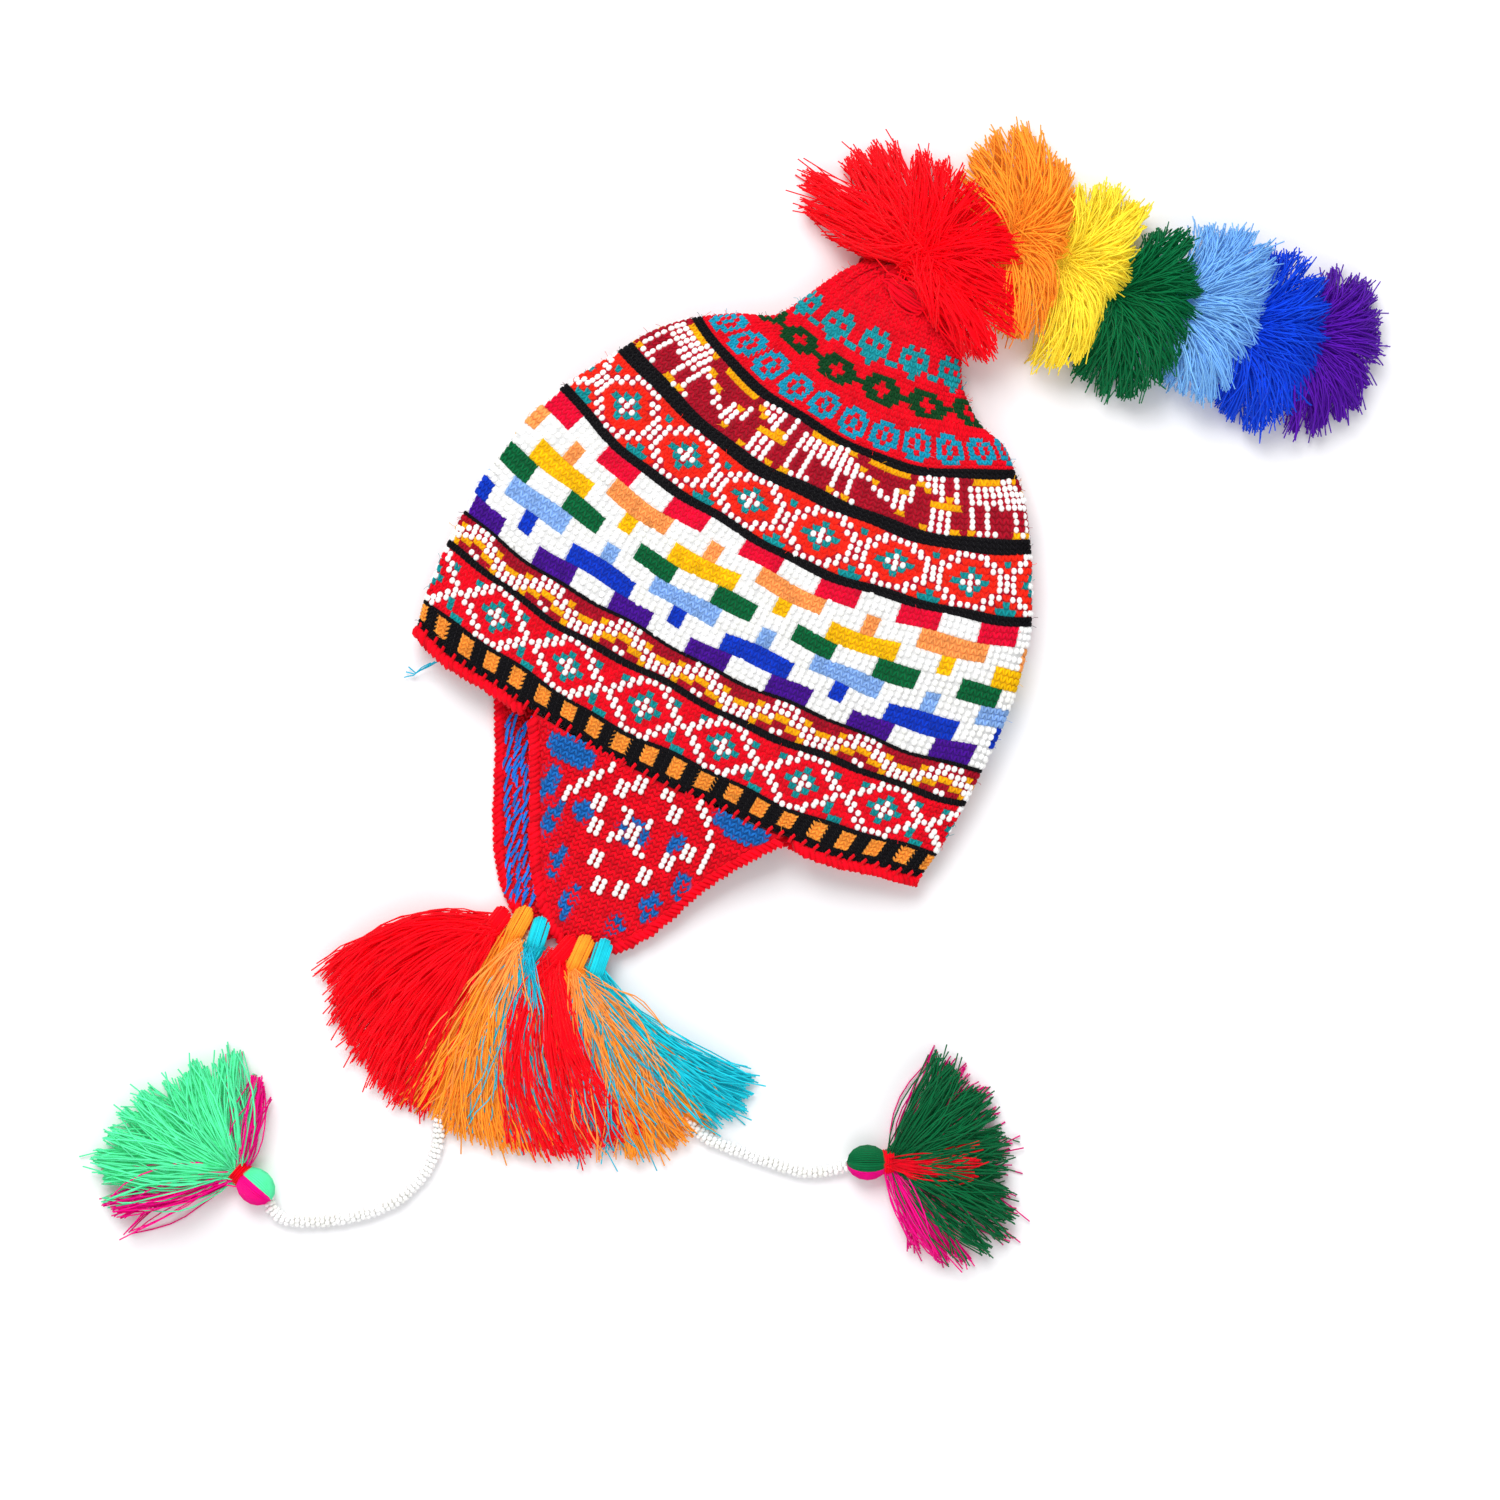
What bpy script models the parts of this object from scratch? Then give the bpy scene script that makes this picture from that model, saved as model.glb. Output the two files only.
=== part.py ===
"""A knitted and beaded chullo hat with two ear flaps, lying flat on its far side.

X runs along the hem, Y from the hem to the tip of the crown, and Z up from the surface that it lies on.
The origin is the middle of the hem's chord, on the flat underside of the far wall. Sizes are in metres.
The wall takes in the knitted fabric and the seed beads that stand on it.
"""

import math
from collections import namedtuple

import bmesh
import bpy
from mathutils import Vector

MM = 0.001

# Crown
CROWN_HALF_WIDTH = 131.5 * MM
CROWN_LENGTH = 258.0 * MM
CROWN_DEPTH = 41.0 * MM
HEM_DROP = 8.3 * MM
ROW_BOW = 24.0 * MM
FOLD_HEIGHT = 17.0 * MM
WALL = 3.2 * MM
GAP = 0.3 * MM

# Ear flaps and the crocheted edge
FLAP_HALF_WIDTH = 60.0 * MM
FLAP_LENGTH = 82.0 * MM
NEAR_FLAP_X = 2.0 * MM
FAR_FLAP_X = -17.0 * MM
FLAP_FALL_POWER = 1.8
BINDING_WIDTH = 5.6 * MM
BINDING_THICKNESS = 4.0 * MM

# Pompoms along the cord at the crown's tip
POMPOM_PITCH = 28.0 * MM
POMPOM_LENGTH = 45.0 * MM
POMPOM_LOCK_WIDTH = 20.0 * MM
POMPOM_THICKNESS = 27.0 * MM
POMPOM_TIE = 15.0 * MM
POMPOM_TIE_HEIGHT = 12.4 * MM

# Tassels at the tips of the flaps
FLAP_TASSEL_LENGTH = 90.0 * MM
FLAP_LOCK_WIDTH = 17.0 * MM
FLAP_TASSEL_THICKNESS = 18.0 * MM
FLAP_TIE = 9.4 * MM

# Beaded ropes and the tassels at their ends
ROPE_DIAMETER = 6.3 * MM
END_TASSEL_LENGTH = 60.0 * MM
END_LOCK_WIDTH = 22.0 * MM
END_TASSEL_THICKNESS = 22.0 * MM
END_HEAD_DIAMETER = 16.0 * MM
END_NECK_DIAMETER = 12.0 * MM
END_NECK_OFFSET = 10.1 * MM

# Shape of a row round the crown: a power of 2 would be an ellipse, and the underside is flat past FLAT_FROM
ROW_POWER = 2.3
BOW_POWER = 2.3
FLAT_FROM = 0.7

# How finely the pieces are divided
POINTS_ROUND = 34
FLAP_COLUMNS = 6
FLAP_SLOPE_STEP = 0.02
HEM_STOPS = 8
STRIP_SIDES = 6
LOCK_SIDES = 5
ROUTE_STEPS = 12
ROPE_POINT_SPACING = 13.9 * MM
WELD = 0.01 * MM

# The block that stands for the ground under the yarn reaches this many crown lengths across
GROUND_SPAN = 6

# A lock of yarn starts behind its tie by LOCK_ROOT of its width, is settled to its own height by LOCK_SETTLED
# of its way, turns most at LOCK_CORNER, and its tip lies at LOCK_TIP of its last ring's height. Its
# directions are read over LOCK_LOOK of its way.
LOCK_ROOT = 0.2
LOCK_SETTLED = 0.25
LOCK_CORNER = 0.5
LOCK_TIP = 0.8
LOCK_LOOK = 0.05

# Neighbouring locks start and swell a little differently, so that no two faces of them lie in one plane
LOCK_STEP = 0.35 * MM
LOCK_THINNING = 0.06
LOCK_KINDS = 3

Section = namedtuple("Section", "rise half_width shift depth bow")
Dent = namedtuple("Dent", "across rise radius depth")
FlapRow = namedtuple("FlapRow", "drop half_width")
Ring = namedtuple("Ring", "along width thickness height")
Lock = namedtuple("Lock", "turn reach lift", defaults=(0.0,))
BentLock = namedtuple("BentLock", "turn reach lead")
Pompom = namedtuple("Pompom", "name colour along up lean locks")
FlapTassel = namedtuple("FlapTassel", "name colour flap across down locks")
EndTassel = namedtuple("EndTassel", "name colour rope locks")

# Rows of the crown from the hem to the tip. rise is a share of CROWN_LENGTH at the row's middle, half_width
# and shift are shares of CROWN_HALF_WIDTH, depth is a share of CROWN_DEPTH and bow a share of ROW_BOW.
CROWN_SECTIONS = (
    Section(rise=0.000, half_width=0.970, shift=0.008, depth=0.61, bow=0.54),
    Section(rise=0.060, half_width=0.989, shift=0.006, depth=0.70, bow=0.54),
    Section(rise=0.148, half_width=1.000, shift=0.004, depth=0.80, bow=0.54),
    Section(rise=0.214, half_width=0.998, shift=0.006, depth=0.87, bow=0.53),
    Section(rise=0.288, half_width=0.992, shift=0.008, depth=0.93, bow=0.67),
    Section(rise=0.369, half_width=0.964, shift=0.014, depth=0.98, bow=0.83),
    Section(rise=0.446, half_width=0.904, shift=0.024, depth=1.00, bow=1.00),
    Section(rise=0.530, half_width=0.816, shift=0.027, depth=1.00, bow=1.00),
    Section(rise=0.600, half_width=0.728, shift=0.032, depth=0.97, bow=1.00),
    Section(rise=0.667, half_width=0.614, shift=0.038, depth=0.91, bow=0.97),
    Section(rise=0.721, half_width=0.520, shift=0.046, depth=0.84, bow=0.76),
    Section(rise=0.776, half_width=0.398, shift=0.044, depth=0.74, bow=0.42),
    Section(rise=0.806, half_width=0.348, shift=0.036, depth=0.69, bow=0.35),
    Section(rise=0.841, half_width=0.312, shift=0.028, depth=0.65, bow=0.29),
    Section(rise=0.907, half_width=0.252, shift=0.030, depth=0.60, bow=0.21),
    Section(rise=0.954, half_width=0.182, shift=0.030, depth=0.52, bow=0.17),
    Section(rise=0.985, half_width=0.100, shift=0.024, depth=0.36, bow=0.10),
)
TIP_SHIFT = 0.023

# Soft dents of the near wall, and swells where depth is negative: across, rise and radius are shares of
# CROWN_HALF_WIDTH, CROWN_LENGTH and CROWN_HALF_WIDTH, and depth is a share of CROWN_DEPTH.
CROWN_DENTS = (
    Dent(across=-0.55, rise=0.16, radius=0.24, depth=0.07),
    Dent(across=0.62, rise=0.20, radius=0.22, depth=0.06),
    Dent(across=0.10, rise=0.33, radius=0.40, depth=-0.04),
    Dent(across=-0.42, rise=0.60, radius=0.20, depth=0.05),
    Dent(across=0.40, rise=0.62, radius=0.20, depth=0.05),
)

# Half widths of an ear flap, as shares of FLAP_HALF_WIDTH, down its length as shares of FLAP_LENGTH
FLAP_ROWS = (
    FlapRow(drop=0.00, half_width=1.00),
    FlapRow(drop=0.12, half_width=0.90),
    FlapRow(drop=0.28, half_width=0.78),
    FlapRow(drop=0.44, half_width=0.67),
    FlapRow(drop=0.60, half_width=0.57),
    FlapRow(drop=0.75, half_width=0.45),
    FlapRow(drop=0.87, half_width=0.32),
    FlapRow(drop=0.95, half_width=0.19),
    FlapRow(drop=1.00, half_width=0.07),
)

# Swelling of a lock of yarn from its tie to its tip, as shares of its length, width and thickness, with the
# height of its middle as a share of its thickness
POMPOM_RINGS = (
    Ring(along=0.28, width=0.74, thickness=0.82, height=0.50),
    Ring(along=0.62, width=1.00, thickness=0.92, height=0.48),
    Ring(along=0.88, width=0.80, thickness=0.62, height=0.36),
)
TASSEL_RINGS = (
    Ring(along=0.12, width=0.80, thickness=0.76, height=0.52),
    Ring(along=0.45, width=1.00, thickness=0.95, height=0.48),
    Ring(along=0.75, width=1.05, thickness=0.86, height=0.43),
    Ring(along=0.95, width=0.80, thickness=0.58, height=0.34),
)

# The pompoms, each tied round the cord: along and up place its tie in pitches from the first one, lean turns
# the plane that parts it from the one before, and each lock has its bearing in degrees, its reach as a share
# of POMPOM_LENGTH and, where it lies over the crown, its lift as a share of POMPOM_THICKNESS
POMPOMS = (
    Pompom(
        "pompom_red", "FA0A1E", 0.0, 0.0, None,
        (Lock(177, 1.45), Lock(156, 1.28), Lock(135, 1.18), Lock(112, 1.04), Lock(84, 0.86), Lock(5, 1.00),
         Lock(-16, 1.24), Lock(-36, 0.96, 0.20), Lock(-72, 0.60, 0.40), Lock(-116, 0.60, 0.40),
         Lock(-164, 1.08)),
    ),
    Pompom(
        "pompom_orange", "FF9A28", 1.18, 0.93, 37,
        (Lock(161, 0.78), Lock(137, 0.98), Lock(112, 1.18), Lock(90, 0.94), Lock(66, 0.76), Lock(-15, 0.50),
         Lock(-56, 1.12)),
    ),
    Pompom(
        "pompom_yellow", "FFE63C", 2.04, 0.96, 16,
        (Lock(106, 0.74), Lock(82, 0.92), Lock(58, 0.96), Lock(34, 0.70), Lock(-25, 0.60), Lock(-56, 1.10),
         Lock(-76, 1.18)),
    ),
    Pompom(
        "pompom_green", "006B3C", 2.93, 0.89, 0,
        (Lock(80, 0.68), Lock(62, 0.96), Lock(38, 0.88), Lock(2, 0.90), Lock(-28, 1.05), Lock(-52, 1.18),
         Lock(-76, 1.00), Lock(-100, 0.80)),
    ),
    Pompom(
        "pompom_light_blue", "7DB9F2", 3.89, 1.14, 0,
        (Lock(92, 0.84), Lock(70, 1.02), Lock(48, 1.14), Lock(12, 0.90), Lock(-22, 1.00), Lock(-42, 1.16),
         Lock(-68, 0.82)),
    ),
    Pompom(
        "pompom_royal_blue", "0A46DC", 5.00, 1.21, 8,
        (Lock(90, 0.86), Lock(70, 1.00), Lock(46, 0.98), Lock(10, 0.90), Lock(-28, 1.02), Lock(-52, 1.10),
         Lock(-78, 0.74)),
    ),
    Pompom(
        "pompom_purple", "5A12AA", 5.89, 1.50, 10,
        (Lock(84, 0.76), Lock(64, 0.98), Lock(40, 0.94), Lock(14, 0.90), Lock(-11, 0.92), Lock(-35, 1.00),
         Lock(-58, 1.02)),
    ),
)

# The tassels at the flaps' tips, the narrow ones first: across and down place the tie in ties from the flap's
# tip, and each lock has the bearing and reach of its tip, as a share of FLAP_TASSEL_LENGTH, and the bearing
# that it leaves the tie at
FLAP_TASSELS = (
    FlapTassel(
        "far_tassel_turquoise", "14C0E0", "far", 0.32, 0.55,
        (BentLock(-53, 0.96, -90), BentLock(-60, 0.98, -96)),
    ),
    FlapTassel(
        "near_tassel_orange", "FF9A28", "near", 0.48, 0.62,
        (BentLock(-38, 1.02, -42), BentLock(-31, 1.04, -36)),
    ),
    FlapTassel(
        "far_tassel_orange", "FF9A28", "far", -0.85, 0.62,
        (BentLock(-89, 0.98, -92), BentLock(-79, 1.04, -90), BentLock(-69, 1.06, -88),
         BentLock(-60, 1.08, -86)),
    ),
    FlapTassel(
        "near_tassel_red", "FA0A1E", "near", -0.55, 0.62,
        (BentLock(-62, 0.98, -88), BentLock(-55, 1.01, -76), BentLock(-48, 0.99, -64)),
    ),
    FlapTassel(
        "far_tassel_red", "FA0A1E", "far", -1.88, 0.50,
        (BentLock(-132, 0.90, -172), BentLock(-121, 0.94, -150), BentLock(-110, 0.97, -128),
         BentLock(-100, 1.00, -110), BentLock(-92, 1.03, -94)),
    ),
    FlapTassel(
        "near_tassel_turquoise", "14C0E0", "near", 1.50, 0.40,
        (BentLock(-6, 1.00, -22), BentLock(-15, 1.04, -24), BentLock(-24, 1.02, -28)),
    ),
)

# The tassels at the ends of the ropes, with each lock's bearing, and its reach as a share of END_TASSEL_LENGTH
END_TASSELS = (
    EndTassel(
        "far_end_tassel", "12E586", "far",
        (Lock(98, 0.62), Lock(115, 0.92), Lock(136, 0.88), Lock(157, 0.92), Lock(178, 1.00), Lock(198, 1.06),
         Lock(214, 1.10), Lock(228, 0.98)),
    ),
    EndTassel(
        "near_end_tassel", "006B3C", "near",
        (Lock(95, 0.92), Lock(76, 0.86), Lock(57, 0.88), Lock(37, 0.88), Lock(16, 0.88), Lock(-4, 1.04),
         Lock(-24, 1.00), Lock(-46, 0.72)),
    ),
)

# Routes of the beaded ropes in millimetres from the tip of their flap, with the height of the middle above
# where a rope lies on the ground
ROPE_ROUTES = {
    "far": (
        (0, -0.5, 0), (-2, -24, 0), (-2, -62, 0), (-1, -92, 0), (4, -106, 0), (4, -121, 0), (-2, -137, 0),
        (-13, -149, 0), (-25, -158, 0), (-41, -166, 0), (-49.5, -165.5, 0), (-54, -161.5, 0),
    ),
    "near": (
        (0, -1.4, 3.2), (3, -13, 1.8), (24, -27, 0), (57, -39, 0), (89, -47, 0), (104, -47, 0), (122, -45, 0),
        (138, -42, 0), (150, -35.5, 0), (156.5, -29.5, 0),
    ),
}


def start_scene():
    """Empties the scene and gives the collections for the hat and for its cutters."""
    for obj in list(bpy.data.objects):
        bpy.data.objects.remove(obj, do_unlink=True)
    collections = []
    for name in ("chullo_hat", "cutters"):
        collection = bpy.data.collections.new(name)
        bpy.context.scene.collection.children.link(collection)
        collections.append(collection)
    return collections


HAT, CUTTERS = start_scene()


def linear(hex_colour):
    """The linear colour of an sRGB hex value."""
    shares = [int(hex_colour[i : i + 2], 16) / 255 for i in (0, 2, 4)]
    return [c / 12.92 if c <= 0.04045 else ((c + 0.055) / 1.055) ** 2.4 for c in shares] + [1.0]


def finish(obj, hex_colour, roughness=0.9):
    """Gives a piece its own plain material, shades it smooth and puts it with the hat."""
    material = bpy.data.materials.new(obj.name)
    material.use_nodes = True
    shader = material.node_tree.nodes["Principled BSDF"]
    shader.inputs["Base Color"].default_value = linear(hex_colour)
    shader.inputs["Roughness"].default_value = roughness
    shader.inputs["Metallic"].default_value = 0.0
    obj.data.materials.clear()
    obj.data.materials.append(material)
    obj.data.shade_smooth()
    obj.data.set_sharp_from_angle(angle=math.radians(50))
    for collection in list(obj.users_collection):
        collection.objects.unlink(obj)
    HAT.objects.link(obj)
    return obj


def keep_as_cutter(obj):
    """Puts a helper among the cutters, out of the render."""
    obj.hide_render = True
    obj.display_type = "WIRE"
    for collection in list(obj.users_collection):
        collection.objects.unlink(obj)
    CUTTERS.objects.link(obj)
    return obj


def object_of(bm, name):
    """An object of the mesh built in bm, its faces turned out."""
    bmesh.ops.recalc_face_normals(bm, faces=bm.faces)
    mesh = bpy.data.meshes.new(name)
    bm.to_mesh(mesh)
    bm.free()
    obj = bpy.data.objects.new(name, mesh)
    HAT.objects.link(obj)
    return obj


def apply_modifiers(obj):
    """Turns what the modifiers make into the object's own mesh."""
    graph = bpy.context.evaluated_depsgraph_get()
    mesh = bpy.data.meshes.new_from_object(obj.evaluated_get(graph))
    obj.modifiers.clear()
    obj.data = mesh


def add_boolean(obj, operation, other):
    """The locks of a tassel meet at grazing angles, where only the MANIFOLD solver keeps the solid closed."""
    boolean = obj.modifiers.new(other.name, "BOOLEAN")
    boolean.solver = "MANIFOLD"
    boolean.operation = operation
    boolean.object = other


def join_solids(base, others):
    """Fuses the other solids into base, and removes them."""
    for other in others:
        add_boolean(base, "UNION", other)
    apply_modifiers(base)
    for other in others:
        bpy.data.objects.remove(other, do_unlink=True)


def cut_by_all_cutters(obj):
    """Takes every cutter made so far away from the solid."""
    for cutter in CUTTERS.objects:
        add_boolean(obj, "DIFFERENCE", cutter)
    apply_modifiers(obj)


def drop_scraps(obj):
    """Leaves only the largest body of the solid, where a cut has parted a scrap from it."""
    bm = bmesh.new()
    bm.from_mesh(obj.data)
    left = set(bm.verts)
    groups = []
    while left:
        group = [left.pop()]
        for vert in group:
            near = {edge.other_vert(vert) for edge in vert.link_edges} & left
            left -= near
            group.extend(near)
        groups.append(group)
    groups.sort(key=len)
    for group in groups[:-1]:
        bmesh.ops.delete(bm, geom=group, context="VERTS")
    bm.to_mesh(obj.data)
    bm.free()


def keep_behind(obj, point, normal):
    """Cuts the solid with a plane, and closes it there: what lies on the normal's side goes."""
    bm = bmesh.new()
    bm.from_mesh(obj.data)
    geometry = list(bm.verts) + list(bm.edges) + list(bm.faces)
    cut = bmesh.ops.bisect_plane(bm, geom=geometry, plane_co=point, plane_no=normal, clear_outer=True)
    rim = [item for item in cut["geom_cut"] if isinstance(item, bmesh.types.BMEdge)]
    bmesh.ops.edgenet_fill(bm, edges=rim)
    bmesh.ops.triangulate(bm, faces=bm.faces)
    bmesh.ops.recalc_face_normals(bm, faces=bm.faces)
    bm.to_mesh(obj.data)
    bm.free()


def loft(bm, rings, closed=True):
    """Faces between each ring of points and the next, and the rings' vertices."""
    rows = [[bm.verts.new(point) for point in ring] for ring in rings]
    count = len(rows[0])
    steps = count if closed else count - 1
    for row, next_row in zip(rows, rows[1:]):
        for i in range(steps):
            j = (i + 1) % count
            bm.faces.new((row[i], row[j], next_row[j], next_row[i]))
    return rows


def close_to_point(bm, row, point):
    """A fan from a ring to one point."""
    middle = bm.verts.new(point)
    for i, vert in enumerate(row):
        bm.faces.new((vert, row[(i + 1) % len(row)], middle))


def dent_at(x, y):
    """How far the near wall sinks at a place."""
    depth = 0.0
    for dent in CROWN_DENTS:
        dx = x - dent.across * CROWN_HALF_WIDTH
        dy = y - (dent.rise * CROWN_LENGTH - HEM_DROP)
        radius = dent.radius * CROWN_HALF_WIDTH
        depth += dent.depth * CROWN_DEPTH * math.exp(-(dx * dx + dy * dy) / (radius * radius))
    return depth


def row_point(section, across, near):
    """A place on one row of the outer surface: across runs from -1 to 1, on the near or the far wall."""
    share = min(abs(across), 1.0)
    height = (1.0 - share**ROW_POWER) ** (1.0 / ROW_POWER)
    half_width = section.half_width * CROWN_HALF_WIDTH
    x = section.shift * CROWN_HALF_WIDTH + across * half_width
    y = section.rise * CROWN_LENGTH - HEM_DROP + section.bow * ROW_BOW * share**BOW_POWER
    top = section.depth * CROWN_DEPTH
    fold = section.depth * FOLD_HEIGHT
    if near:
        z = fold + (top - fold - dent_at(x, y)) * height
    else:
        z = fold * max(0.0, 1.0 - height / FLAT_FROM) ** 2
    return Vector((x, y, z))


def row_ring(section):
    """The points of one row all the way round, from the right fold over the near wall."""
    ring = []
    for i in range(POINTS_ROUND):
        turn = 2 * math.pi * i / POINTS_ROUND
        across = math.copysign(abs(math.cos(turn)) ** (2 / ROW_POWER), math.cos(turn))
        ring.append(row_point(section, across, near=math.sin(turn) >= 0))
    return ring


def tip_of_crown():
    """The end of the crown, where the cord leaves it."""
    height = CROWN_SECTIONS[-1].depth * FOLD_HEIGHT
    return Vector((TIP_SHIFT * CROWN_HALF_WIDTH, CROWN_LENGTH - HEM_DROP, height))


def crown_surface(name, swell=0.0, filled=False):
    """The crown's outer surface, closed at the tip: an open sheet, or filled at the hem too."""
    bm = bmesh.new()
    rows = loft(bm, [row_ring(section) for section in CROWN_SECTIONS])
    close_to_point(bm, rows[-1], tip_of_crown())
    if filled:
        bm.faces.new(rows[0][::-1])
    bmesh.ops.recalc_face_normals(bm, faces=bm.faces)
    for vert in bm.verts:
        vert.co += vert.normal * swell
    return object_of(bm, name)


def add_solidify(obj, thickness, offset):
    solidify = obj.modifiers.new("wall", "SOLIDIFY")
    solidify.thickness = thickness
    solidify.offset = offset
    solidify.use_even_offset = True


def make_crown():
    """The knitted crown, one wall round a hollow that is open at the hem."""
    crown = crown_surface("crown")
    add_solidify(crown, WALL, -1.0)
    finish(crown, "FA0A2A")
    keep_as_cutter(crown_surface("crown_clearance", swell=GAP, filled=True))


def hem_height(x):
    """Middle of the near wall at the hem, over a place along it."""
    hem = CROWN_SECTIONS[0]
    across = (x - hem.shift * CROWN_HALF_WIDTH) / (hem.half_width * CROWN_HALF_WIDTH)
    return row_point(hem, across, near=True).z - WALL / 2


def hem_line(x):
    """How far up the hem lies over a place along it."""
    hem = CROWN_SECTIONS[0]
    across = (x - hem.shift * CROWN_HALF_WIDTH) / (hem.half_width * CROWN_HALF_WIDTH)
    return row_point(hem, across, near=True).y


def flap_middle(flap):
    return NEAR_FLAP_X if flap == "near" else FAR_FLAP_X


def flap_height(flap, x, drop):
    """Height of a flap's middle surface. The near flap comes down from the near wall onto the far one."""
    if flap == "far":
        return BINDING_THICKNESS / 2
    rest = BINDING_THICKNESS + GAP + BINDING_THICKNESS / 2
    return rest + (hem_height(x) - rest) * max(0.0, 1.0 - drop) ** FLAP_FALL_POWER


def flap_normal(flap, x, drop):
    """The way a flap's upper face looks over a place on it."""
    above = max(drop - FLAP_SLOPE_STEP, 0.0)
    below = drop + FLAP_SLOPE_STEP
    rise = flap_height(flap, x, above) - flap_height(flap, x, below)
    return Vector((0, -rise / ((below - above) * FLAP_LENGTH), 1)).normalized()


def flap_point(flap, across, row):
    """A point of a flap's middle surface: across runs from -1 to 1 between its edges."""
    x = flap_middle(flap) + across * row.half_width * FLAP_HALF_WIDTH
    top = hem_line(x) - GAP
    bottom = -HEM_DROP - GAP - FLAP_LENGTH
    y = top + (bottom - top) * row.drop
    return Vector((x, y, flap_height(flap, x, row.drop)))


def flap_tip(flap):
    """The lowest point of a flap with its binding, on the middle surface."""
    y = -HEM_DROP - GAP - FLAP_LENGTH - GAP - BINDING_WIDTH
    return Vector((flap_middle(flap), y, flap_height(flap, flap_middle(flap), 1.0)))


def make_flap(flap):
    """One knitted ear flap, a flat wall joined to the hem along its top edge."""
    bm = bmesh.new()
    rows = []
    for row in FLAP_ROWS:
        rows.append([flap_point(flap, 2 * i / FLAP_COLUMNS - 1, row) for i in range(FLAP_COLUMNS + 1)])
    loft(bm, rows, closed=False)
    obj = object_of(bm, f"{flap}_ear_flap")
    add_solidify(obj, WALL, 0.0)
    return finish(obj, "F01428" if flap == "near" else "4A62C8")


def strip(name, edge, outwards, ups, swell=0.0):
    """A flat round-edged strip laid along an edge, one gap off it."""
    half_width = BINDING_WIDTH / 2
    half_thickness = BINDING_THICKNESS / 2
    rings = []
    for point, out, up in zip(edge, outwards, ups):
        middle = point + out * (GAP + half_width)
        ring = []
        for i in range(STRIP_SIDES):
            turn = 2 * math.pi * (i + 0.5) / STRIP_SIDES
            reach = out * math.cos(turn) * (half_width + swell) / math.cos(math.pi / STRIP_SIDES)
            lift = up * math.sin(turn) * (half_thickness + swell)
            ring.append(middle + reach + lift)
        rings.append(ring)
    bm = bmesh.new()
    rows = loft(bm, rings)
    bm.faces.new(rows[0])
    bm.faces.new(rows[-1])
    return object_of(bm, name)


def flap_edge(flap):
    """The edge of a flap from one end of the hem join round its tip to the other."""
    left = [flap_point(flap, -1, row) for row in FLAP_ROWS]
    right = [flap_point(flap, 1, row) for row in FLAP_ROWS]
    return left + right[::-1]


def directions_out(edge, ups):
    """Unit vectors that point away from a flap, square to its edge and to its face."""
    found = []
    for i, up in enumerate(ups):
        along = edge[min(i + 1, len(edge) - 1)] - edge[max(i - 1, 0)]
        found.append(along.cross(up).normalized())
    return found


def make_flap_binding(flap):
    """The crocheted edge of one flap."""
    edge = flap_edge(flap)
    drops = [row.drop for row in FLAP_ROWS]
    ups = [flap_normal(flap, point.x, drop) for point, drop in zip(edge, drops + drops[::-1])]
    outwards = directions_out(edge, ups)
    finish(strip(f"{flap}_flap_binding", edge, outwards, ups), "F0142D")
    keep_as_cutter(strip(f"{flap}_flap_clearance", edge, outwards, ups, swell=GAP))


def make_hem_binding(side, name):
    """The crocheted edge of the hem on one side, from the near flap round the fold to the far flap."""
    hem = CROWN_SECTIONS[0]
    shift = hem.shift * CROWN_HALF_WIDTH
    half_width = hem.half_width * CROWN_HALF_WIDTH
    room = FLAP_HALF_WIDTH + GAP + BINDING_WIDTH + 2 * GAP
    near_end = abs(NEAR_FLAP_X + side * room - shift) / half_width
    far_end = abs(FAR_FLAP_X + side * room - shift) / half_width
    shares = [math.sin(i / HEM_STOPS * math.pi / 2) for i in range(HEM_STOPS)]
    stops = [(near_end + (1 - near_end) * share, True) for share in shares]
    stops.append((1.0, True))
    stops += [(far_end + (1 - far_end) * share, False) for share in reversed(shares)]
    outer = [row_point(hem, side * across, near) for across, near in stops]
    edge = []
    ups = []
    for i, point in enumerate(outer):
        along = outer[min(i + 1, len(outer) - 1)] - outer[max(i - 1, 0)]
        inward = Vector((side * along.z, 0, side * -along.x)).normalized()
        ups.append(inward)
        edge.append(point + inward * (BINDING_THICKNESS / 2))
    finish(strip(name, edge, [Vector((0, -1, 0))] * len(edge), ups), "F0142D")


def smooth_route(points, spacing):
    """Points read at an even spacing from a smooth curve through the given ones."""
    dense = []
    padded = [points[0] * 2 - points[1]] + list(points) + [points[-1] * 2 - points[-2]]
    for a, b, c, d in zip(padded, padded[1:], padded[2:], padded[3:]):
        for i in range(ROUTE_STEPS):
            t = i / ROUTE_STEPS
            bend = (a * 2 - b * 5 + c * 4 - d) * t * t + (b * 3 - a - c * 3 + d) * t * t * t
            dense.append((b * 2 + (c - a) * t + bend) / 2)
    dense.append(points[-1])
    lengths = [0.0]
    for p, q in zip(dense, dense[1:]):
        lengths.append(lengths[-1] + (q - p).length)
    count = max(2, round(lengths[-1] / spacing))
    route = []
    k = 0
    for i in range(count + 1):
        want = lengths[-1] * i / count
        while k < len(dense) - 2 and lengths[k + 1] < want:
            k += 1
        step = lengths[k + 1] - lengths[k]
        route.append(dense[k].lerp(dense[k + 1], (want - lengths[k]) / step))
    return route


def rope_route(flap):
    """The rope's middle line from its flap's tip."""
    tip = flap_tip(flap)
    ground = ROPE_DIAMETER / 2
    points = [Vector((tip.x + x * MM, tip.y + y * MM, ground + z * MM)) for x, y, z in ROPE_ROUTES[flap]]
    return smooth_route(points, ROPE_POINT_SPACING)


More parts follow.
